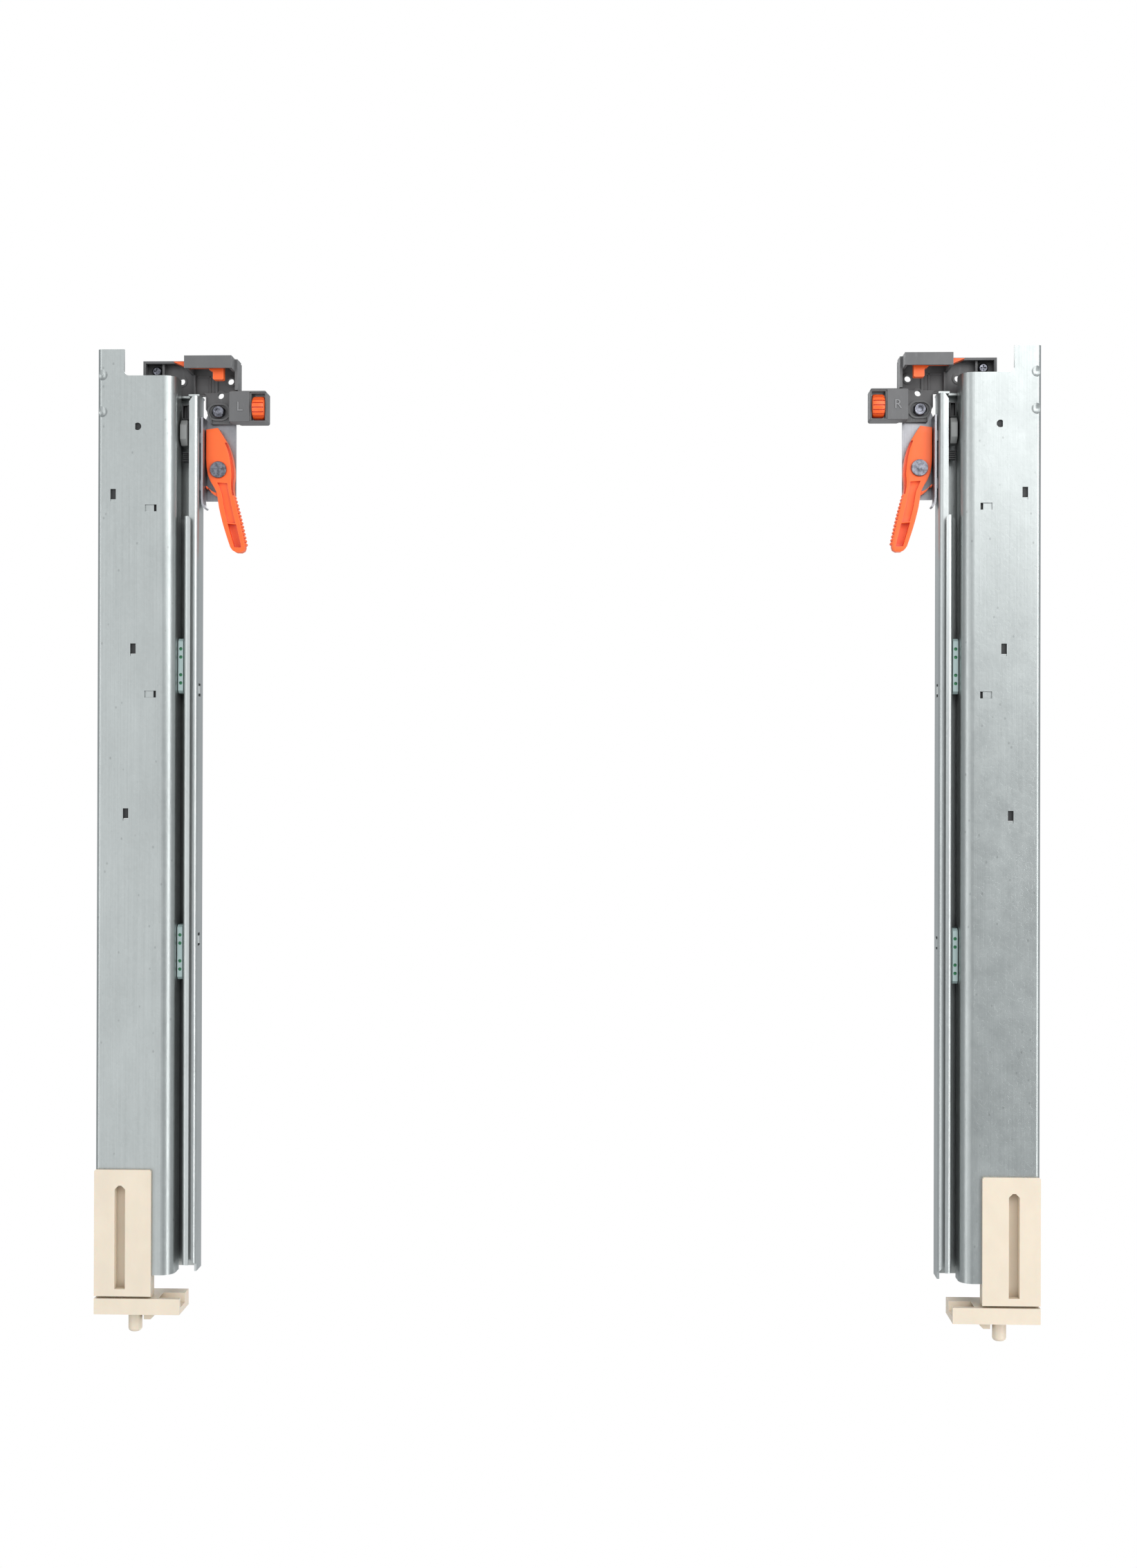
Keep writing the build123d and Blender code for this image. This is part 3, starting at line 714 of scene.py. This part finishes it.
    @classmethod
    def soften(cls, piece: bpy.types.Object, width: float, segments: int = 2,
               angle: float = 40.0) -> bpy.types.Object:
        """Bevels every edge sharper than an angle and smooths the shading.

        Args:
            piece: the piece.
            width: millimetres.
            segments: steps in the bevel.
            angle: degrees.

        Returns:
            The same piece.
        """
        cls.activate(piece)
        bevel = piece.modifiers.new("soften", "BEVEL")
        bevel.width = width * MM
        bevel.segments = segments
        bevel.limit_method = "ANGLE"
        bevel.angle_limit = math.radians(angle)
        bpy.ops.object.modifier_apply(modifier=bevel.name)
        return cls.smooth(piece)

    @classmethod
    def combine(cls, piece: bpy.types.Object, tool: bpy.types.Object,
                operation: str) -> bpy.types.Object:
        """Joins a tool to the piece, or cuts it away, and removes the tool.

        Args:
            piece: the piece.
            tool: the shape to add or cut.
            operation: UNION or DIFFERENCE.

        Returns:
            The piece.
        """
        cls.activate(piece)
        step = piece.modifiers.new("combine", "BOOLEAN")
        step.operation = operation
        step.solver = "EXACT"
        step.object = tool
        bpy.ops.object.modifier_apply(modifier=step.name)
        bpy.data.objects.remove(tool)
        return piece

    @classmethod
    def copy(cls, piece: bpy.types.Object, name: str, step: Vector = Vector()) -> bpy.types.Object:
        """A copy with its own mesh, moved by a step.

        Args:
            piece: what is copied.
            name: the copy's name.
            step: how far it is moved.

        Returns:
            The copy.
        """
        cls.clear()
        twin = piece.copy()
        twin.data = piece.data.copy()
        twin.name = name
        twin.data.name = name
        bpy.context.scene.collection.objects.link(twin)
        if step.length:
            cls.select(twin, "VERT", lambda vertex: True)
            cls.move(step)
            cls.clear()
        return twin

    @classmethod
    def join(cls, first: bpy.types.Object, others: Iterable[bpy.types.Object]) -> bpy.types.Object:
        """Joins pieces into the first.

        Args:
            first: the piece that stays.
            others: pieces joined to it.

        Returns:
            The first piece.
        """
        cls.clear()
        for piece in (first, *others):
            piece.select_set(True)
        bpy.context.view_layer.objects.active = first
        bpy.ops.object.join()
        return first

    @classmethod
    def mirrored(cls, piece: bpy.types.Object, name: str) -> bpy.types.Object:
        """The right slide's copy of a left piece.

        Args:
            piece: the left piece.
            name: the copy's name.

        Returns:
            The copy, its faces outwards.
        """
        twin = cls.copy(piece, name)
        cls.select(twin, "VERT", lambda vertex: True)
        bpy.ops.transform.resize(value=(-1, 1, 1), center_override=(0, 0, 0))
        bpy.ops.mesh.remove_doubles(threshold=1e-6)
        bpy.ops.mesh.normals_make_consistent(inside=False)
        cls.clear()
        return twin


@dataclass
class Assembly:
    """A sub-assembly that is modelled on the left and mirrored to the right."""

    finishes: Finishes

    def fit(self, piece: bpy.types.Object, body: str, slot: str,
            stands_for: Sequence[str] = ()) -> None:
        """Finishes a left piece and its mirrored twin and sets both on their bodies.

        Args:
            piece: the left piece, named left_...
            body: the body's name without its side.
            slot: the record's material slot.
            stands_for: CAD nodes, without their side, that the piece replaces.
        """
        self.finishes.dress(piece, slot)
        twin = Bench.mirrored(piece, piece.name.replace("left_", "right_", 1))
        self.settle(piece, Side.LEFT, body, slot, stands_for)
        self.settle(twin, Side.RIGHT, body, slot, stands_for)

    def settle(self, piece: bpy.types.Object, side: Side, body: str, slot: str,
               stands_for: Sequence[str] = ()) -> None:
        """Sets one side's piece on its body.

        Args:
            piece: the piece.
            side: its slide.
            body: the body's name without its side.
            slot: the record's material slot; not used.
            stands_for: CAD nodes, without their side, that it replaces.
        """
        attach(piece, side.node(body))
        if stands_for:
            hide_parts(*(side.node(node) for node in stands_for))


# --- release lever ----------------------------------------------------------------------------


@dataclass
class ReleaseLever(Assembly):
    """Orange lever: bevelled head, channel, grip recess, edge teeth and its spring finger."""

    underside: float = 19.3
    top: float = 25.0
    pivot: tuple[float, float] = (66.8, -219.8)
    pivot_hole: float = 3.15
    columns: tuple[float, ...] = (0.0, 0.1, 0.25, 0.76, 0.9, 1.0)
    stations: tuple[tuple[float, float, float, float], ...] = (
        (59.4, -243.7, 66.3, -244.6), (59.4, -240.0, 69.0, -240.4), (59.4, -236.0, 71.7, -235.9),
        (59.4, -231.5, 73.8, -231.0), (59.4, -226.5, 75.1, -226.0), (59.7, -221.5, 75.9, -220.5),
        (60.4, -217.0, 76.1, -216.0), (62.0, -213.0, 75.6, -212.0), (64.2, -209.4, 75.5, -208.3),
        (65.9, -206.0, 76.0, -204.6), (66.5, -201.5, 77.0, -200.4), (67.2, -197.0, 77.9, -196.2),
        (68.2, -192.7, 79.0, -191.7), (69.3, -188.4, 80.0, -187.4), (70.5, -184.3, 81.0, -183.0),
        (71.7, -180.5, 81.9, -178.9), (72.9, -176.9, 82.5, -175.8), (73.9, -174.0, 82.6, -173.6),
        (75.2, -172.2, 82.0, -171.9), (77.2, -171.0, 80.2, -170.9))
    channel_rows: tuple[int, int] = (7, 13)
    channel_depth: float = 1.9
    recess_rows: tuple[int, int] = (13, 17)
    recess_depth: float = 3.6
    ledge_rows: tuple[int, int] = (2, 9)
    ledge_depth: float = 1.3
    teeth: int = 14
    tooth_radius: float = 0.98
    tooth_stations: tuple[int, int] = (9, 16)
    tooth_start: tuple[float, float] = (-0.15, 1.0)
    tooth_bow: tuple[float, float] = (0.35, -0.08)
    finger_rows: tuple[tuple[tuple[float, float], ...], ...] = (
        ((66.9, -206.6), (66.9, -203.6)), ((64.6, -206.5), (64.8, -204.6)),
        ((62.2, -207.7), (62.6, -206.2)), ((60.6, -209.3), (61.3, -208.0)),
        ((59.3, -210.6), (60.4, -209.3)), ((59.0, -210.0), (59.7, -208.6)))
    finger_under: float = 20.4
    finger_top: float = 24.2
    finger_root: Point = (65.6, -204.5, 22)
    finger_tip: Point = (60.2, -209.5, 22)

    def plan(self) -> list[list[tuple[float, float]]]:
        """Stations from head to tip, each divided into the columns."""
        return [[(left + (right - left) * share, front + (back - front) * share)
                 for share in self.columns] for left, front, right, back in self.stations]

    def sink(self, body: bpy.types.Object, rows: tuple[int, int], column: int, margin: float,
             depth: float) -> None:
        """Insets one column between two stations and pushes it up into the lever.

        Args:
            body: the lever.
            rows: first and last station.
            column: the column, from 0.
            margin: millimetres left standing round it.
            depth: millimetres.
        """
        middle = (self.columns[column] + self.columns[column + 1]) / 2
        targets = []
        for row in range(rows[0], rows[1]):
            near, far = self.stations[row], self.stations[row + 1]
            points = [(s[0] + (s[2] - s[0]) * middle, s[1] + (s[3] - s[1]) * middle)
                      for s in (near, far)]
            targets.append(place((points[0][0] + points[1][0]) / 2,
                                 (points[0][1] + points[1][1]) / 2, self.underside))
        Bench.select(body, "FACE", lambda face: any(
            (face.calc_center_median() - target).length < 0.6 * MM for target in targets))
        if margin:
            bpy.ops.mesh.inset(thickness=margin * MM, depth=0)
        Bench.extrude(Vector((0, 0, depth * MM)))

    def lever(self) -> bpy.types.Object:
        """The lever itself.

        Returns:
            The left lever.
        """
        body = Bench.ribbon("left_lever", self.plan(), self.underside, self.top)
        self.sink(body, self.channel_rows, 2, 0.4, self.channel_depth)
        self.sink(body, self.recess_rows, 2, 0.15, self.recess_depth)
        self.sink(body, self.ledge_rows, 4, 0, self.ledge_depth)
        Bench.soften(body, 0.3, 2)
        first, last = (self.stations[index] for index in self.tooth_stations)
        start = Vector((first[2], first[3])) + Vector(self.tooth_start)
        reach = Vector((last[2], last[3])) - start
        bow = Vector(self.tooth_bow)
        tooth = Bench.drum("tooth", place(0, 0, (self.underside + self.top) / 2),
                           self.tooth_radius * MM, (self.top - self.underside - 1.2) * MM, 14)
        Bench.soften(tooth, 0.2, 2)
        for index in range(self.teeth):
            share = index / (self.teeth - 1)
            spot = start + reach * share + bow * math.sin(share * math.pi)
            step = Vector((spot.x * MM, spot.y * MM, 0))
            body = Bench.combine(body, Bench.copy(tooth, f"tooth_{index}", step), "UNION")
        bpy.data.objects.remove(tooth)
        hole = Bench.drum("pivot_hole", place(*self.pivot, self.underside + 2),
                          self.pivot_hole * MM, 12 * MM, 40)
        return Bench.smooth(Bench.combine(body, hole, "DIFFERENCE"))

    def finger(self) -> bpy.types.Object:
        """Thin spring finger from the lever's neck to the hook plate's flange.

        Returns:
            The left finger.
        """
        body = Bench.ribbon("left_lever_finger", self.finger_rows, self.finger_under,
                            self.finger_top)
        return Bench.soften(body, 0.3, 2)

    def build(self) -> None:
        """Both sides' levers and fingers."""
        self.fit(self.lever(), "release_lever", "orange_plastic", ["release_lever"])
        left = self.finishes.dress(self.finger(), "orange_plastic")
        right = Bench.mirrored(left, "right_lever_finger")
        for side, piece, sign in ((Side.LEFT, left, 1), (Side.RIGHT, right, -1)):
            root, tip = place(*self.finger_root), place(*self.finger_tip)
            root.x *= sign
            tip.x *= sign
            side.node("release_lever")
            side.node("drawer_runner")
            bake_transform(piece)
        log.info("release levers: lever, teeth and spring finger on each side")


# --- front lock -------------------------------------------------------------------------------


@dataclass(frozen=True)
class Stud:
    """A round head on a shank; head and shank are each a radius, a height and their middle's z."""

    spot: tuple[float, float]
    head: Point
    shank: Point

    def part(self, name: str, sizes: Point, sides: int) -> bpy.types.Object:
        """Makes the head or the shank.

        Args:
            name: the piece's name.
            sizes: its radius, height and middle, in millimetres.
            sides: faces round it.

        Returns:
            The piece.
        """
        radius, height, middle = sizes
        return Bench.drum(name, place(*self.spot, middle), radius * MM, height * MM, sides)


@dataclass
class FrontLock(Assembly):
    """Rivets, screw, thumbwheel and the moulded detail of the locking base."""

    pivot: Stud = Stud((66.8, -219.8), (4.9, 1.2, 18.5), (3.0, 6.4, 22.1))
    guide: Stud = Stud((66.2, -254.6), (3.6, 2.1, 21.65), (2.4, 2.8, 23.9))
    screw: Stud = Stud((29.2, -278.9), (2.9, 1.8, 23.5), (1.5, 2.6, 25.2))
    cross_arm: tuple[float, float] = (3.4, 0.75)
    cross_depth: float = 0.9
    cross_middle: float = 22.5
    wheel: Point = (91.3, -255.6, 18.4)
    wheel_radius: float = 7.0
    wheel_width: float = 7.4
    wheel_ribs: int = 16
    strips_per_rib: int = 4
    groove_depth: float = 0.9
    wheel_chamfer: float = 1.3
    wheel_smooth_angle: float = 25.0
    stub_radius: float = 1.9
    stub_length: float = 10.6
    stub_middle: float = 82.4
    block_under: float = 13.5
    mark_height: float = 7.6
    mark_relief: float = 0.4
    mark_starts: tuple[float, float] = (78.6, 82.4)
    mark_y: float = -253.6
    rib_path: tuple[tuple[float, float], ...] = (
        (52.0, -276.6), (52.0, -265.2), (53.0, -264.2), (58.0, -264.2), (58.9, -263.2),
        (58.9, -256.2), (61.5, -251.3), (61.9, -247.6))
    rib_half_width: float = 0.35
    rib_under: float = 21.7
    rib_top: float = 23.3
    scale_lines: int = 8
    scale_pitch: float = 1.0
    scale_line: tuple[Point, Point] = ((66.0, -249.6, 22.65), (66.25, -247.9, 23.0))
    cross_bar: tuple[Point, Point] = ((53.4, -276.0, 23.7), (63.0, -275.4, 24.5))
    long_bar: tuple[Point, Point] = ((60.4, -276.0, 23.7), (61.0, -265.0, 24.5))

    @staticmethod
    def dish(head: bpy.types.Object, steps: Sequence[tuple[float, float]]) -> None:
        """Shapes the underside of a head in rings, and leaves it in edit mode.

        Args:
            head: a round head.
            steps: each ring's width and how far the face inside it is moved up, in millimetres.
        """
        Bench.select(head, "FACE", lambda face: face.normal.z < -0.9)
        for margin, rise in steps:
            bpy.ops.mesh.inset(thickness=margin * MM, depth=0)
            Bench.move(Vector((0, 0, rise * MM)))

    def pivot_rivet(self) -> bpy.types.Object:
        """Flat head with a rolled rim and a shallow punched dish, on its shank.

        Returns:
            The left rivet.
        """
        head = self.pivot.part("left_pivot_rivet", self.pivot.head, 56)
        self.dish(head, ((0.9, 0.12), (2.2, -0.2)))
        Bench.soften(head, 0.35, 3, 50)
        shank = self.pivot.part("shank", self.pivot.shank, 40)
        return Bench.combine(head, shank, "UNION")

    def guide_rivet(self) -> bpy.types.Object:
        """Round rivet with a hollow end that slides in the base's slot.

        Returns:
            The left rivet.
        """
        head = self.guide.part("left_guide_rivet", self.guide.head, 48)
        self.dish(head, ((0.5, -0.35),))
        bpy.ops.mesh.inset(thickness=1.5 * MM, depth=0)
        Bench.extrude(Vector((0, 0, 0.9 * MM)))
        Bench.soften(head, 0.25, 2, 50)
        shank = self.guide.part("shank", self.guide.shank, 36)
        return Bench.combine(head, shank, "UNION")

    def base_screw(self) -> bpy.types.Object:
        """Domed screw with a cross recess.

        Returns:
            The left screw.
        """
        head = self.screw.part("left_base_screw", self.screw.head, 40)
        self.dish(head, ((0.8, -0.5),))
        Bench.soften(head, 0.3, 3)
        for size in (self.cross_arm, self.cross_arm[::-1]):
            reach = Vector((size[0] / 2 * MM, size[1] / 2 * MM, self.cross_depth * MM))
            spot = place(*self.screw.spot, self.cross_middle)
            head = Bench.combine(head, Bench.block("cross", spot - reach, spot + reach),
                                 "DIFFERENCE")
        shank = self.screw.part("shank", self.screw.shank, 24)
        return Bench.combine(head, shank, "UNION")

    def thumbwheel(self) -> bpy.types.Object:
        """Barrel wheel with grooves all round.

        Returns:
            The left wheel.
        """
        centre = place(*self.wheel)
        strips = self.wheel_ribs * self.strips_per_rib
        body = Bench.drum("left_wheel", centre, self.wheel_radius * MM, self.wheel_width * MM,
                          strips, (0, math.pi / 2, 0))
        Bench.select(body, "FACE", lambda face: abs(face.normal.x) > 0.9)
        bpy.ops.mesh.bevel(offset=self.wheel_chamfer * MM, segments=2, affect="EDGES")

        def in_groove(face: bmesh.types.BMFace) -> bool:
            """One strip in four round the wheel.

            Args:
                face: a face of the wheel.

            Returns:
                Whether it becomes a groove.
            """
            spot = face.calc_center_median() - centre
            if abs(face.normal.x) > 0.9:
                return False
            turn = math.atan2(spot.z, spot.y) / (2 * math.pi) * strips
            return math.floor(turn + 1e-3) % self.strips_per_rib == 0

        Bench.select(body, "FACE", in_groove)
        inwards = {"value": -self.groove_depth * MM}
        bpy.ops.mesh.extrude_region_shrink_fatten(TRANSFORM_OT_shrink_fatten=inwards)
        bpy.ops.mesh.select_all(action="SELECT")
        bpy.ops.mesh.normals_make_consistent(inside=False)
        return Bench.smooth(body, self.wheel_smooth_angle)

    def stub(self) -> bpy.types.Object:
        """The wheel's threaded stub.

        Returns:
            The left stub.
        """
        middle = place(self.stub_middle, *self.wheel[1:])
        core = Bench.drum("left_wheel_stub", middle, self.stub_radius * MM,
                          self.stub_length * MM, 28, (0, math.pi / 2, 0))
        return Bench.soften(core, 0.3, 2)

    def ribs(self) -> bpy.types.Object:
        """Raised edge that follows the base's cut-out, and the scale lines beside the slot.

        Returns:
            The left ribs.
        """
        path = self.rib_path
        rows = []
        for index, (u, y) in enumerate(path):
            before, after = path[max(0, index - 1)], path[min(len(path) - 1, index + 1)]
            along = Vector((after[0] - before[0], after[1] - before[1])).normalized()
            side = along * self.rib_half_width
            rows.append([(u + side.y, y - side.x), (u - side.y, y + side.x)])
        edge = Bench.ribbon("left_base_ribs", rows, self.rib_under, self.rib_top)
        Bench.soften(edge, 0.15, 2)
        line = Bench.block("line", *(place(*corner) for corner in self.scale_line))
        lines = [Bench.copy(line, f"line_{index}", Vector((index * self.scale_pitch * MM, 0, 0)))
                 for index in range(1, self.scale_lines)]
        bar = Bench.block("bar", *(place(*corner) for corner in self.cross_bar))
        long = Bench.block("long", *(place(*corner) for corner in self.long_bar))
        return Bench.join(edge, [line, *lines, bar, long])

    def side_mark(self, side: Side) -> bpy.types.Object:
        """The raised side letter under the adjuster block.

        Args:
            side: the slide.

        Returns:
            The letter.
        """
        Bench.clear()
        u = self.mark_starts[0] if side is Side.LEFT else self.mark_starts[1]
        spot = place(u, self.mark_y, self.block_under)
        if side is Side.RIGHT:
            spot.x = -spot.x
        bpy.ops.object.text_add(location=spot, rotation=(math.pi, 0, 0))
        letter = bpy.context.active_object
        letter.data.body = side.name[0]
        letter.data.size = self.mark_height * MM
        letter.data.extrude = self.mark_relief * MM
        bpy.ops.object.convert(target="MESH")
        return Bench.named(f"{side.value}_side_mark")

    def build(self) -> None:
        """All pieces of both locks."""
        self.fit(self.pivot_rivet(), "drawer_runner", "turned_steel", ["lock_rivets"])
        self.fit(self.guide_rivet(), "drawer_runner", "turned_steel")
        self.fit(self.base_screw(), "lock_base", "turned_steel", ["lock_screw"])
        self.fit(self.thumbwheel(), "thumbwheel", "orange_plastic", ["thumbwheel"])
        self.fit(self.stub(), "thumbwheel", "turned_steel")
        self.fit(self.ribs(), "lock_base", "dark_grey_plastic")
        for side in Side:
            # The side letters get the lighter grey: partly rubbed wear, partly a painted
            # highlight.
            mark = self.finishes.dress(self.side_mark(side), "dark_grey_plastic", "raised_mark")
            self.settle(mark, side, "lock_base", "dark_grey_plastic")
        log.info("front locks: rivets, screw, thumbwheel, ribs and side marks")


# --- runner gap -------------------------------------------------------------------------------


@dataclass
class RunnerGap(Assembly):
    """What shows in the gap between the fixed bend and the runners, at the front."""

    guide_low: Point = (46.6, -247.6, 7.2)
    guide_high: Point = (50.4, -232.6, 18.6)
    guide_chamfer: float = 3.4
    pocket_low: Point = (46.4, -257.2, 13.2)
    pocket_high: Point = (50.4, -248.4, 18.4)
    pocket_wall: float = 0.7
    pocket_depth: float = 3.6
    stop_rib_low: Point = (46.4, -229.6, 15.6)
    stop_rib_high: Point = (50.6, -228.9, 18.8)
    stop_back_low: Point = (46.4, -229.6, 18.0)
    stop_back_high: Point = (50.6, -224.2, 19.4)
    stop_ribs: int = 5
    stop_pitch: float = 1.15

    def guide(self) -> bpy.types.Object:
        """Faceted grey guide block.

        Returns:
            The left block.
        """
        body = Bench.block("left_guide_block", place(*self.guide_low), place(*self.guide_high))
        near_foot = place(*self.guide_low).z + MM
        Bench.select(body, "EDGE", lambda edge: all(v.co.z < near_foot for v in edge.verts)
                     and abs(edge.verts[0].co.y - edge.verts[1].co.y) < 1e-5)
        bpy.ops.mesh.bevel(offset=self.guide_chamfer * MM, segments=1, affect="EDGES")
        return Bench.soften(body, 0.3, 2, 30)

    def pocket(self) -> bpy.types.Object:
        """Black box with its open mouth, ahead of the guide block.

        Returns:
            The left box.
        """
        body = Bench.block("left_gap_pocket", place(*self.pocket_low), place(*self.pocket_high))
        Bench.select(body, "FACE", lambda face: face.normal.z < -0.9)
        bpy.ops.mesh.inset(thickness=self.pocket_wall * MM, depth=0)
        Bench.extrude(Vector((0, 0, self.pocket_depth * MM)))
        return Bench.soften(body, 0.15, 2)

    def stop(self) -> bpy.types.Object:
        """Ribbed black stop behind the guide block.

        Returns:
            The left stop.
        """
        rib = Bench.block("left_gap_stop", place(*self.stop_rib_low), place(*self.stop_rib_high))
        ribs = [Bench.copy(rib, f"rib_{index}", Vector((0, index * self.stop_pitch * MM, 0)))
                for index in range(1, self.stop_ribs)]
        back = Bench.block("back", place(*self.stop_back_low), place(*self.stop_back_high))
        return Bench.join(rib, [*ribs, back])

    def build(self) -> None:
        """All pieces of both gaps."""
        self.fit(self.guide(), "drawer_runner", "grey_plastic", ["front_buffer"])
        self.fit(self.pocket(), "drawer_runner", "black_plastic")
        self.fit(self.stop(), "drawer_runner", "black_plastic")
        log.info("runner gaps: guide block, pocket and stop")


# --- studio -----------------------------------------------------------------------------------


@dataclass(frozen=True)
class SoftBox:
    """A rectangular area light and the point that it faces, in metres and watts."""

    name: str
    place: Point
    aim: Point
    size: tuple[float, float]
    power: float


@dataclass
class Studio:
    """Pale floor, soft boxes under and over the slides, and the camera below them."""

    camera_place: Point = (0.036555, -0.031585, -1.09606)
    camera_right: Point = (0.9995, -0.00263, 0.03142)
    camera_down: Point = (0.00255, 0.99999, 0.00263)
    camera_forward: Point = (-0.03143, -0.00255, 0.9995)
    lens: float = 43.65
    floor_drop: float = 0.0006
    floor_size: float = 12.0
    floor_shades: tuple[Colour, Colour] = ((0.86, 0.86, 0.85), (0.9, 0.9, 0.895))
    sensor: float = 36.0
    nearest: float = 0.02
    surround_tint: tuple[float, float, float, float] = (0.93, 0.97, 1.0, 1)
    surround_strength: float = 0.56
    boxes: tuple[SoftBox, ...] = (
        SoftBox("under_left", (-0.75, 0.1, -1.5), (-0.25, 0, 0), (2.2, 0.9), 4.5),
        SoftBox("under_right_front", (0.55, -0.85, -1.35), (0.25, -0.15, 0), (1.3, 1.0), 10.6),
        SoftBox("strip_right", (1.15, 0, -1.0), (-0.23, 0, 0), (2.4, 0.5), 13),
        SoftBox("strip_left", (-1.15, 0, -1.0), (0.23, 0, 0), (2.4, 0.4), 6),
        SoftBox("over_front", (-0.3, -1.3, 1.7), (0, 0, 0), (1.8, 1.2), 22),
        SoftBox("over_back", (0.8, 1.5, 1.3), (0, 0, 0), (1.4, 1.2), 14))

    def camera(self) -> None:
        """Looks up at the undersides, the drawer's front at the top of the image."""
        data = bpy.data.cameras.new("studio_camera")
        data.lens = self.lens
        data.sensor_width = self.sensor
        data.clip_start = self.nearest
        camera = bpy.data.objects.new("studio_camera", data)
        bpy.context.scene.collection.objects.link(camera)
        right, down, forward = (Vector(v).normalized() for v in
                                (self.camera_right, self.camera_down, self.camera_forward))
        turn = Matrix((right, -down, -forward)).transposed()
        camera.matrix_world = Matrix.Translation(Vector(self.camera_place)) @ turn.to_4x4()
        bpy.context.scene.camera = camera

    def floor(self) -> None:
        """A pale floor seen from above only, so that the undersides can be looked at too."""
        bpy.ops.object.select_all(action="DESELECT")
        bpy.ops.mesh.primitive_plane_add(size=self.floor_size, location=(0, 0, -self.floor_drop))
        floor = bpy.context.active_object
        floor.name = "studio_floor"
        recipe = Recipe("studio_floor")
        recipe.colour(recipe.blend(recipe.noise(1.5, (1, 1, 1), 2.0), *self.floor_shades))
        recipe.constant(Roughness=0.9)
        nodes, links = recipe.tree.nodes, recipe.tree.links
        clear = nodes.new("ShaderNodeBsdfTransparent")
        facing = nodes.new("ShaderNodeNewGeometry")
        either = nodes.new("ShaderNodeMixShader")
        output = next(node for node in nodes if node.type == "OUTPUT_MATERIAL")
        links.new(facing.outputs["Backfacing"], either.inputs["Fac"])
        links.new(recipe.shader.outputs["BSDF"], either.inputs[1])
        links.new(clear.outputs["BSDF"], either.inputs[2])
        links.new(either.outputs["Shader"], output.inputs["Surface"])
        floor.data.materials.append(recipe.material)
        floor.visible_shadow = False
        floor.visible_diffuse = False
        floor.visible_glossy = False

    def soft_box(self, box: SoftBox) -> None:
        """Sets up one soft box, its first size along Y.

        Args:
            box: the light.
        """
        data = bpy.data.lights.new(box.name, "AREA")
        data.shape = "RECTANGLE"
        data.size, data.size_y = box.size
        data.energy = box.power
        light = bpy.data.objects.new(box.name, data)
        bpy.context.scene.collection.objects.link(light)
        direction = Vector(box.aim) - Vector(box.place)
        light.matrix_world = (Matrix.Translation(Vector(box.place))
                              @ direction.to_track_quat("-Z", "Y").to_matrix().to_4x4())
        light.visible_camera = False

    def surround(self) -> None:
        """White behind everything, softer for light and reflections."""
        world = bpy.data.worlds.new("studio_surround")
        bpy.context.scene.world = world
        world.use_nodes = True
        nodes, links = world.node_tree.nodes, world.node_tree.links
        nodes.clear()
        seen = nodes.new("ShaderNodeBackground")
        seen.inputs["Color"].default_value = (1, 1, 1, 1)
        soft = nodes.new("ShaderNodeBackground")
        soft.inputs["Color"].default_value = self.surround_tint
        soft.inputs["Strength"].default_value = self.surround_strength
        path = nodes.new("ShaderNodeLightPath")
        either = nodes.new("ShaderNodeMixShader")
        output = nodes.new("ShaderNodeOutputWorld")
        links.new(path.outputs["Is Camera Ray"], either.inputs["Fac"])
        links.new(soft.outputs["Background"], either.inputs[1])
        links.new(seen.outputs["Background"], either.inputs[2])
        links.new(either.outputs["Shader"], output.inputs["Surface"])

    def build(self) -> None:
        """Sets up camera, floor, lights and surround."""
        self.camera()
        self.floor()
        for box in self.boxes:
            self.soft_box(box)
        self.surround()
        bpy.context.scene.view_settings.view_transform = "Standard"
        log.info("studio: camera, floor and %d soft boxes", len(self.boxes))


def main() -> None:
    """Builds the pair and the studio."""
    logging.basicConfig(level=logging.INFO, format="%(name)s: %(message)s")
    bpy.ops.object.select_all(action="DESELECT")
    finishes = Finishes()
    FrameDressing(finishes).dress()
    ReleaseLever(finishes).build()
    FrontLock(finishes).build()
    RunnerGap(finishes).build()
    Bench.clear()
    Studio().build()


if __name__ == "__main__":
    main()
